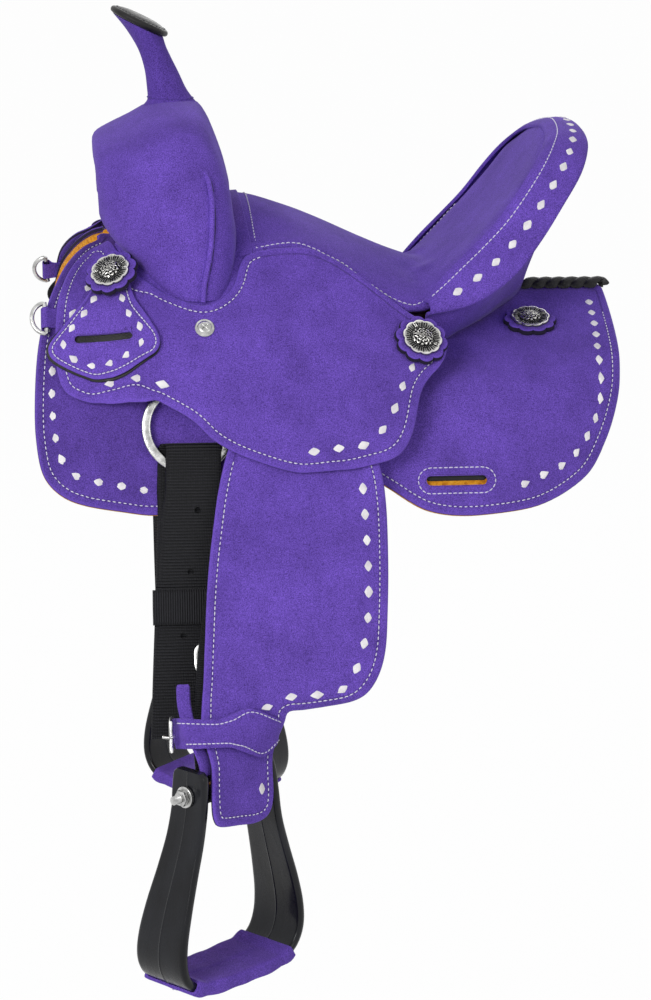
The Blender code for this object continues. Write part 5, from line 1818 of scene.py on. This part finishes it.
def strap(path, thick, place, left, right, across=10):
    """Strap with rounded selvedges along (v, h) points; its UV runs along and across."""
    bm = bmesh.new()
    spread = bm.loops.layers.uv.new("flat")
    rings = []
    marks = []
    run = 0.0
    for k, (v, h) in enumerate(path):
        a = path[max(k - 1, 0)]
        b = path[min(k + 1, len(path) - 1)]
        size = math.hypot(b[0] - a[0], b[1] - a[1])
        nv = -(b[1] - a[1]) / size * thick / 2
        nh = (b[0] - a[0]) / size * thick / 2
        if k:
            run += math.hypot(v - path[k - 1][0], h - path[k - 1][1])
        low, high = left(v), right(v)
        edge = thick / 2
        ring = []
        mark = []
        for side in (1, -1):
            for j in range(across + 1):
                t = j / across if side > 0 else 1 - j / across
                x = mix(low + edge, high - edge, t)
                ring.append(place(x, v + nv * side, h + nh * side))
                mark.append((run, x - low))
            for turn in (0.5, 0.0, -0.5):
                x = (high if side > 0 else low) + (-edge + edge * math.cos(turn * math.pi / 1.5)) * side
                lift = math.sin(turn * math.pi / 1.5) * side
                ring.append(place(x, v + nv * lift, h + nh * lift))
                mark.append((run, x - low))
        rings.append([bm.verts.new(p) for p in ring])
        marks.append(mark)
    n = len(rings[0])
    for i in range(len(rings) - 1):
        for j in range(n):
            k = (j + 1) % n
            f = bm.faces.new((rings[i][j], rings[i][k], rings[i + 1][k], rings[i + 1][j]))
            for corner, mark in zip(f.loops, (marks[i][j], marks[i][k], marks[i + 1][k], marks[i + 1][j])):
                corner[spread].uv = mark
    for ring, mark in ((rings[0], marks[0]), (rings[-1], marks[-1])):
        f = bm.faces.new(ring)
        for corner, place_of in zip(f.loops, mark):
            corner[spread].uv = place_of
    return outward_mesh(bm, "strap")


tab_path = [(26, 1.0), (9, 1.0), (4, 0.95)]
tab_path += [
    (-3.4 * math.sin(math.radians(a)), 4.2 - 3.4 * math.cos(math.radians(a)))
    for a in range(15, 170, 15)
]
tab_path += [(1.5, 6.8), (4.5, 3.2), (7, 2.1), (26, 2.1)]
dee_tab = strap(
    in_metres(tab_path), 0.9 * MM, lambda s, x, h: on_skirt(DEE_X + x, s, h),
    lambda x: DEE_S - TAB_HALF, lambda x: DEE_S + TAB_HALF,
)
pair("dee_tab_leather", dee_tab, plain_suede, ["dee_tab"])


# Rigging ring: a flat nickel plated ring under the front of the jockey on each side.
# A leather strap folded over its top carries it from the tree.
RING_X = -125.0 * MM
RING_V = -81.7 * MM
RING_R = 38.0 * MM
RING_BAND = 7.5 * MM
RING_LOW = 2.0 * MM
RING_THICK = 4.0 * MM
RIGGING_THICK = 2.1 * MM
RIGGING_HALF = 21 * MM


def squared(value, power):
    """Power of a cosine or sine with its sign kept, which squares the corners of a round."""
    return math.copysign(abs(value) ** power, value)


ring_rows = []
for a in turns(128):
    row = []
    for b in turns(16):
        r = RING_R - RING_BAND / 2 + RING_BAND / 2 * squared(math.cos(b), 0.6)
        h = RING_LOW + RING_THICK / 2 + RING_THICK / 2 * squared(math.sin(b), 0.6)
        row.append(in_side(RING_X + r * math.cos(a), RING_V + r * math.sin(a), h))
    ring_rows.append(row)
pair("rigging_ring_steel", loft(ring_rows, wrap=True), steel, ["rigging_ring"])


def fold(inner, end, low, high, thick, sign, near, far, shut):
    """Path of a strap folded over the ring band; its layers close up between near and far."""
    mid = 0.5 * (low + high)
    r = 0.5 * (high - low) - thick / 2
    path = [(end, shut[0]), (far, shut[0]), (near, low + thick / 2)]
    for k in range(13):
        a = math.radians(180 * k / 12)
        path.append((inner + sign * r - sign * r * math.sin(a), mid - r * math.cos(a)))
    return path + [(near, high - thick / 2), (far, shut[1]), (end, shut[1])]


rigging_path = fold(
    RING_V + 19.3 * MM, RING_V + 68 * MM, -0.5 * MM, 8.5 * MM, RIGGING_THICK, 1,
    RING_V + 41 * MM, RING_V + 52 * MM, (-0.1 * MM, 2.4 * MM),
)
rigging_strap = strap(
    rigging_path, RIGGING_THICK, in_side,
    lambda v: RING_X - RIGGING_HALF, lambda v: RING_X + RIGGING_HALF,
)
pair("rigging_strap_suede", rigging_strap, plain_suede, ["rigging_strap"])


# Cinch straps: ribbed black webbing folded over the bottom of the ring and hanging double.
# Holes are melted through the outer layer, and a woven loop holds the two layers together.
WEB_THICK = 2.1 * MM
WEB_WIDE = 44.5 * MM
WEB_END = -331.0 * MM
WEB_HOLE = 5.0 * MM
WEB_BEND = -152.0 * MM
WEB_INWARD = 25.0 * MM
WEB_LEAN = math.tan(math.radians(2.2))
WEB_RIB = 2.5 * MM
WEB_MID = 2.95 * MM
LOOP_V = -226 * MM
LOOP_HALF = 14
LOOP_WALL = 1.8
LOOP_RIB = 1.9 * MM
SWINGS["cinch"] = (RING_X, RING_V, math.radians(4))


def web_middle(v):
    return RING_X - 1 * MM + (v - RING_V) * WEB_LEAN


def web_left(v):
    return web_middle(v) - WEB_WIDE / 2


def web_right(v):
    return web_middle(v) + WEB_WIDE / 2


def webbing(name, rib, wide, tone_up=1.0):
    """Woven nylon: ribs across the strap, yarns along them and a bound selvedge."""
    finish, tree, shader, place = new_finish(name, 0.55, Specular_IOR_Level=0.22)
    flat = add(tree, "ShaderNodeUVMap", {"uv_map": "flat"}).outputs[0]
    split = add(tree, "ShaderNodeSeparateXYZ", Vector=flat).outputs

    def wave(socket, period):
        angle = reckon(tree, "MULTIPLY_ADD", socket, 2 * math.pi / period, 0.0)
        return reckon(tree, "MULTIPLY_ADD", reckon(tree, "SINE", angle), 0.5, 0.5)

    ribs = wave(split[0], rib)
    yarns = wave(split[1], rib * 0.55)
    weave = reckon(tree, "MULTIPLY_ADD", yarns, 0.28, ribs)
    from_edge = reckon(tree, "MINIMUM", split[1], reckon(tree, "SUBTRACT", wide, split[1]))
    selvedge = span(tree, from_edge, 1.6 * MM, 2.6 * MM, 1.0, 0.0)
    lint = noise(tree, place, 500.0, 3.0)
    tone = ramp(
        tree, weave, (0.1, (0.001, 0.001, 0.0015)),
        (0.9, (0.013 * tone_up, 0.013 * tone_up, 0.016 * tone_up)),
    )
    tone = tint(tree, tone, (0.006, 0.006, 0.008, 1), selvedge)
    dust = span(tree, lint, 0.55, 0.8, 0.0, 0.14)
    tone = tint(tree, tone, (0.06, 0.06, 0.07, 1), dust)
    tree.links.new(tone, shader.inputs["Base Color"])
    raise_by(tree, shader, weave, 0.7 * MM)
    return finish


web_finish = webbing("ribbed_webbing", WEB_RIB, WEB_WIDE)
web_path = fold(
    RING_V - 13.5 * MM, WEB_END, -0.5 * MM, 8.5 * MM, WEB_THICK, -1,
    RING_V - 44 * MM, WEB_BEND, (1.7 * MM, 4.2 * MM),
)
web_path = [(v, h - (0 if v > WEB_BEND - MM else WEB_INWARD)) for v, h in web_path]
web_path = even(web_path, 3.5 * MM, False)


def web_sink(v):
    return WEB_INWARD * max(0.0, WEB_BEND - v) / (WEB_BEND - WEB_END)


def askew(x, v, h):
    """The outer layer hangs a little behind the inner one above the loop."""
    share = min(1.0, max(-1.0, (h - WEB_MID + web_sink(v)) / (3 * MM)))
    return in_side(x + (1 + share) * 3.5 * MM * ease(-320 * MM, -130 * MM, v) - 2 * MM, v, h)


web = strap(web_path, WEB_THICK, askew, web_left, web_right)
for v, off in ((-149, 9), (-198, 4.5), (-249, 0)):
    rows = []
    for h in (WEB_MID - web_sink(v * MM), 14 * MM):
        rows.append([
            in_side(
                web_middle(v * MM) + off * MM + WEB_HOLE / 2 * math.cos(a),
                v * MM + WEB_HOLE / 2 * math.sin(a), h,
            )
            for a in turns(20)
        ])
    web = without(web, loft(rows))
pair("cinch_webbing", web, web_finish, ["cinch_strap"], "cinch")

loop_rows = []
for v in [-LOOP_HALF + 2 * LOOP_HALF * k / 16 for k in range(17)]:
    sink = WEB_INWARD * (WEB_BEND - LOOP_V - v * MM) / (WEB_BEND - WEB_END)
    rib = 0.25 * math.cos(math.pi * v / LOOP_HALF)
    rings = []
    for grow in (0, LOOP_WALL):
        ring = []
        for a in turns(64):
            ca = squared(math.cos(a), 0.12)
            sa = squared(math.sin(a), 0.3)
            half_x = WEB_WIDE / 2 + (1.2 + grow + (0.2 * rib if grow else 0)) * MM
            h = WEB_MID - sink + sa * (2.9 + grow) * MM
            ring.append(in_side(web_middle(LOOP_V) + ca * half_x, LOOP_V + v * MM, h))
        rings.append(ring)
    loop_rows.append(rings)


def sleeve(rows, length_step):
    """Tube wall from rows of (inner ring, outer ring), with its UV round and along."""
    bm = bmesh.new()
    spread = bm.loops.layers.uv.new("flat")
    layers = [[[bm.verts.new(p) for p in rings[side]] for rings in rows] for side in (0, 1)]
    count = len(rows[0][0])
    around = [0.0]
    outer = rows[0][1]
    for k in range(count):
        around.append(around[-1] + (outer[(k + 1) % count] - outer[k]).length)

    def face(corners, marks):
        f = bm.faces.new(corners)
        for corner, mark in zip(f.loops, marks):
            corner[spread].uv = mark

    for layer in layers:
        for i in range(len(rows) - 1):
            for k in range(count):
                j = (k + 1) % count
                face(
                    (layer[i][k], layer[i][j], layer[i + 1][j], layer[i + 1][k]),
                    ((around[k], i * length_step), (around[k + 1], i * length_step),
                     (around[k + 1], (i + 1) * length_step), (around[k], (i + 1) * length_step)),
                )
    for i in (0, len(rows) - 1):
        for k in range(count):
            j = (k + 1) % count
            face(
                (layers[0][i][k], layers[0][i][j], layers[1][i][j], layers[1][i][k]),
                ((around[k], 0), (around[k + 1], 0), (around[k + 1], 0), (around[k], 0)),
            )
    return outward_mesh(bm, "sleeve")


loop_finish = webbing("woven_loop", LOOP_RIB, 2 * LOOP_HALF * MM, 1.4)
pair(
    "strap_loop_woven", sleeve(loop_rows, 1.75 * MM), loop_finish,
    ["strap_loop"], "cinch", 50,
)


# Stirrup leathers: black webbing behind each fender, faced with suede where it turns forward.
# It loops under the stirrup bolt, and a flat steel buckle sets its length.
LEATHER_TOP_X = -62.0 * MM
LEATHER_IN = 9.2 * MM
LEATHER_WIDE = 50.0 * MM
LOOP_R = 8.9 * MM
BOLT_V = -368.0 * MM
LEATHER_RIB = 1.8 * MM
BUCKLE_V = -268 * MM
BUCKLE_HALF_WIDE = 26
BUCKLE_HALF_TALL = 14
BUCKLE_THICK = 2.2
BUCKLE_BAR = 2.25
FACING_THICK = 4.2 * MM
FACING_WIDE = 11.0 * MM
FACING_OUT = 38.5 * MM
FACING_IN = 10.6 * MM


def leather_middle(v):
    return mix(TWIST_X, LEATHER_TOP_X, ease(-330 * MM, -10 * MM, v))


def leather_level(v):
    return mix(LEATHER_IN + STRAP_THICK / 2, LOOP_R, ease(284 * MM, 314 * MM, -v))


leather_path = [(v, leather_level(v)) for v in np.linspace(-20 * MM, -350 * MM, 84)]
for k in range(1, 16):
    a = math.radians(180 * k / 16)
    leather_path.append((BOLT_V - LOOP_R * math.sin(a), LOOP_R * math.cos(a)))
leather_path += [(v, -LOOP_R) for v in np.linspace(-358 * MM, -326 * MM, 9)]
leather_path = [(float(v), float(h)) for v, h in leather_path]
leather_strap = strap(
    leather_path, STRAP_THICK, in_leg,
    lambda v: leather_middle(v) - LEATHER_WIDE / 2, lambda v: leather_middle(v) + LEATHER_WIDE / 2,
)
leather_finish = webbing("stirrup_webbing", LEATHER_RIB, LEATHER_WIDE)
pair("stirrup_webbing", leather_strap, leather_finish, ["stirrup_leather"], "fender")
facing_path = [(-291.5 * MM, FACING_IN - 1 * MM), (-290 * MM, FACING_IN)]
facing_path += [(float(v), FACING_IN) for v in np.linspace(-292 * MM, -354 * MM, 22)]
facing = strap(
    facing_path, FACING_THICK, in_leg,
    lambda v: TWIST_X - FACING_OUT, lambda v: TWIST_X - FACING_OUT + FACING_WIDE, 6,
)
pair("leather_facing", facing, plain_suede, (), "fender")

buckle_rows = []
for a in turns(72):
    ca = squared(math.cos(a), 0.5)
    sa = squared(math.sin(a), 0.5)
    row = []
    for b in turns(12):
        inset_by = BUCKLE_BAR - BUCKLE_BAR * squared(math.cos(b), 0.7)
        high = BUCKLE_THICK / 2 + BUCKLE_THICK / 2 * squared(math.sin(b), 0.7)
        row.append(in_leg(
            leather_middle(BUCKLE_V) - 1.5 * MM + (BUCKLE_HALF_WIDE - inset_by) * MM * ca,
            BUCKLE_V + (BUCKLE_HALF_TALL - inset_by) * MM * sa,
            LEATHER_IN - LAYER_GAP - BUCKLE_THICK * MM + high * MM,
        ))
    buckle_rows.append(row)
pair(
    "length_buckle_steel", loft(buckle_rows, wrap=True), steel,
    ["length_buckle"], "fender",
)


# Hobble straps: suede straps buckled round fender end and leather above the stirrup.
# Each widens over the outside, is stitched along both edges and closed by a steel frame buckle.
HOBBLE_V = -333 * MM
HOBBLE_WALL = 2.4 * MM
HOBBLE_TILT = 5.0 * MM
HOBBLE_REACH = 39.5 * MM
HOBBLE_DEEP = 18.2 * MM
HOBBLE_MIDDLE = 3.9 * MM
HOBBLE_LONG = 0.34
HOBBLE_ROUND = 0.42
HOBBLE_STITCH = 3.8 * MM
HOBBLE_SEAM = 3.2 * MM


def hobble_half(ca, sa):
    return (10 + 11 * math.exp(-((ca - 0.42) / 0.4) ** 2) * ease(0, 0.9, sa)) * MM


def on_hobble(angle, share, grow):
    """Point on the strap: round it by angle, across it from -1 to 1."""
    ca = squared(math.cos(angle), HOBBLE_LONG)
    sa = squared(math.sin(angle), HOBBLE_ROUND)
    return in_leg(
        TWIST_X + (HOBBLE_REACH + grow) * ca,
        HOBBLE_V + share * hobble_half(ca, sa) + HOBBLE_TILT * (1 - ca),
        HOBBLE_MIDDLE + (HOBBLE_DEEP + grow) * sa,
    )


hobble_rows = []
for a in turns(120, 0.5):
    row = []
    for j in range(18):
        share = mix(-1, 1, j / 17)
        row.append(on_hobble(a, share, HOBBLE_WALL - 0.5 * MM * abs(share) ** 8))
    for j in range(17, -1, -3):
        row.append(on_hobble(a, mix(-1, 1, j / 17), 0))
    hobble_rows.append(row)
pair(
    "hobble_suede", loft(hobble_rows, wrap=True), plain_suede,
    ["hobble_strap"], "fender",
)
hobble_seams = []
for share in (-1, 1):
    line = []
    for k in range(121):
        a = math.radians(mix(8, 172, k / 120))
        ca = squared(math.cos(a), HOBBLE_LONG)
        sa = squared(math.sin(a), HOBBLE_ROUND)
        inner = share * (1 - HOBBLE_SEAM / hobble_half(ca, sa))
        at = on_hobble(a, inner, HOBBLE_WALL)
        line.append((at, (on_hobble(a, inner, HOBBLE_WALL + 2 * MM) - at).normalized()))
    hobble_seams.append((line, False))
stitched_pair("hobble", hobble_seams, "fender", HOBBLE_STITCH)

buckle_at = in_leg(TWIST_X - 48 * MM, HOBBLE_V + 10 * MM, 5 * MM)
buckle_in = Vector((0.09, 0.98, 0)) * MM
buckle_up = Vector((0, COS_SIDE, SIN_SIDE)) * MM
buckle_path = [
    buckle_at + buckle_in * along + buckle_up * up
    for along, up in smooth_line([[-6, -11.8], [6, -11.8], [6, 11.8], [-6, 11.8]], 6, True)
]
pair(
    "hobble_buckle_steel", wire(buckle_path, 1.6 * MM, 12, closed=True), steel,
    ["hobble_buckle"], "fender",
)
prong = [
    buckle_at + Vector((x, y, 0)) * MM
    for x, y in smooth_line([(2, -5.5), (-0.5, -7.6), (-3, -7.4), (-7, -5.5)], 5)
]
pair("hobble_prong_steel", wire(prong, 1.2 * MM, 10), steel, (), "fender")


# Stirrups: one moulded black plastic band each, bent into a bell and hung on a steel bolt.
# The mould leaves a fine parting line along the middle of each branch.
# The rear branch is narrower at its top, so that it swings clear of the fender's tail.
STIRRUP_LEAN = 0.05
BAND_THICK = 3.6 * MM
HOLE_R = 5.3 * MM
# Middle line of the front branch from the top down: across, height, half width.
BAND = [
    (40, 21, 13), (40, 16, 17), (40.3, 0, 18), (40.5, -12, 18), (44.5, -36, 19), (52, -62, 21),
    (60.5, -90, 24), (66, -114, 26), (66.5, -133, 27), (61, -147, 27), (50, -155, 27),
    (34, -158, 27), (12, -159, 27),
]
REAR_TOP = [(40, 16, 8), (40, 11, 12), (40.3, 2, 15)]
bolt_middle = in_leg(TWIST_X, BOLT_V, 0)
bolt_axis = Vector((-math.cos(TWIST), -math.sin(TWIST), 0))
front = Vector((-bolt_axis.y, bolt_axis.x, 0))


def in_stirrup(a, f, w):
    return bolt_middle + bolt_axis * a + front * (f + STIRRUP_LEAN * w) + Vector((0, 0, w))


band_points = in_metres(BAND)
rear_points = in_metres(REAR_TOP + BAND[3:])
band_line = smooth_line(band_points + [(-a, w, half) for a, w, half in rear_points[::-1]], 5)


def band_ring(k, grow, section):
    """Ring of the band's section at a point of its line."""
    a, w, half = band_line[k]
    before = band_line[max(k - 1, 0)]
    after = band_line[min(k + 1, len(band_line) - 1)]
    go = Vector((after[0] - before[0], after[1] - before[1])).normalized()
    ring = []
    for f, t in section:
        thick = t * BAND_THICK + math.copysign(grow, t)
        across = f * half + math.copysign(grow, f)
        ring.append(in_stirrup(a - go.y * thick, across, w + go.x * thick))
    return ring


BAND_SECTION = [(-1, 0.0), (-0.995, 0.45), (-0.97, 0.8), (-0.93, 0.96)]
BAND_SECTION += [(-0.85, 1.0), (-0.5, 1.0), (-0.06, 1.0), (-0.025, 1.02), (0, 1.1), (0.025, 1.02)]
BAND_SECTION += [(0.06, 1.0), (0.5, 1.0), (0.85, 1.0), (0.93, 0.96), (0.97, 0.8), (0.995, 0.45)]
BAND_SECTION += [(-f, -t) for f, t in BAND_SECTION]
plastic, tree, shader, place = new_finish(
    "moulded_plastic", 0.28, Specular_IOR_Level=0.12, Coat_Weight=0.25, Coat_Roughness=0.12,
)
haze = noise(tree, place, 28.0, 4.0, (1, 1, 0.5))
grain = noise(tree, place, 1300.0, 2.0)
rub = noise(tree, place, 240.0, 4.0, (1, 1, 0.2))
tree.links.new(
    ramp(tree, haze, (0.3, (0.003, 0.003, 0.004)), (0.7, (0.012, 0.013, 0.017))),
    shader.inputs["Base Color"],
)
tree.links.new(span(tree, rub, 0.35, 0.7, 0.2, 0.42), shader.inputs["Roughness"])
raise_by(tree, shader, grain, 0.06 * MM)
raise_by(tree, shader, rub, 0.08 * MM)

stirrup = loft([band_ring(k, 0, BAND_SECTION) for k in range(len(band_line))])
bolt_hole = [
    [in_stirrup(a, HOLE_R * math.cos(turn), HOLE_R * math.sin(turn)) for turn in turns(32)]
    for a in (-60 * MM, 60 * MM)
]
pair(
    "stirrup_plastic", without(stirrup, loft(bolt_hole)), plastic,
    ["stirrup"], "stirrup", 35,
)


# Stirrup bolts: plated steel, with a head, a spacer roller, a washer and a nut.
# The end of the thread stands out of the nut towards the front of the horse.
def bolt_part(profile, corners=48):
    """Turned or cornered length of the bolt from (radius, along) points."""
    rows = []
    for r, a in profile:
        row = []
        for turn in turns(corners * 4 if corners == 6 else corners):
            reach = r
            if corners == 6:
                near = (turn % (math.pi / 3)) - math.pi / 6
                reach = r * math.cos(math.pi / 6) / math.cos(near)
            row.append(in_stirrup(a * MM, reach * MM * math.cos(turn), reach * MM * math.sin(turn)))
        rows.append(row)
    return loft(rows)


def joined(meshes):
    """One mesh of several."""
    bm = bmesh.new()
    for mesh in meshes:
        bm.from_mesh(mesh)
    done = bpy.data.meshes.new("joined")
    bm.to_mesh(done)
    bm.free()
    return done


thread_turns = [(3.55 if k % 2 else 3.1, mix(52.4, 58.6, k / 13)) for k in range(13, -1, -1)]
bolt = joined([
    bolt_part([(2.6, 59)] + thread_turns + [(3.2, 51.4)]),
    bolt_part([(4.6, 52.1), (6.3, 51.8), (6.9, 51.1), (6.9, 47.9), (6.4, 47.5)], 6),
    bolt_part([(5.0, 47.5), (8.4, 47.4), (8.8, 47.0), (8.8, 44.7), (8.4, 44.3), (4.8, 44.3)]),
    bolt_part([(4.8, 44.3), (4.8, 35.6), (6.5, 35.4), (6.9, 34.9), (6.9, -34.9), (6.5, -35.4),
               (4.8, -35.6), (4.8, -44.0), (8.2, -44.2), (8.6, -44.7), (8.6, -47.2), (7.6, -48.6),
               (6.0, -49.5), (3.0, -50)]),
])
pair("stirrup_bolt_steel", bolt, steel, ["stirrup_bolt"], "stirrup", 30)


# Tread wraps: suede sleeves drawn round the treads while damp and stitched below.
# They keep the boot from slipping, and the seam runs along the middle of the underside.
WRAP_TOP = -149 * MM
WRAP_REACH = 57 * MM
wrap_at = [k for k, row in enumerate(band_line) if row[1] < WRAP_TOP and abs(row[0]) < WRAP_REACH]
wrap_rows = []
for k in wrap_at:
    end = min(k - wrap_at[0], wrap_at[-1] - k)
    puff = (2.2 + 0.5 * math.sin(0.9 * end) * (1 if end < 6 else 0.6)) * MM
    wrap_rows.append((
        band_ring(k, LAYER_GAP, BAND_SECTION), band_ring(k, LAYER_GAP + puff, BAND_SECTION),
    ))
pair(
    "tread_suede", sleeve(wrap_rows, 4 * MM), plain_suede,
    ["tread_wrap"], "stirrup", 50,
)
below = [
    (band_ring(k, LAYER_GAP + 2.3 * MM, BAND_SECTION)[8], Vector((0, 0, -1))) for k in wrap_at[1:-1]
]
stitched_pair("tread", [(below, False)], "stirrup")
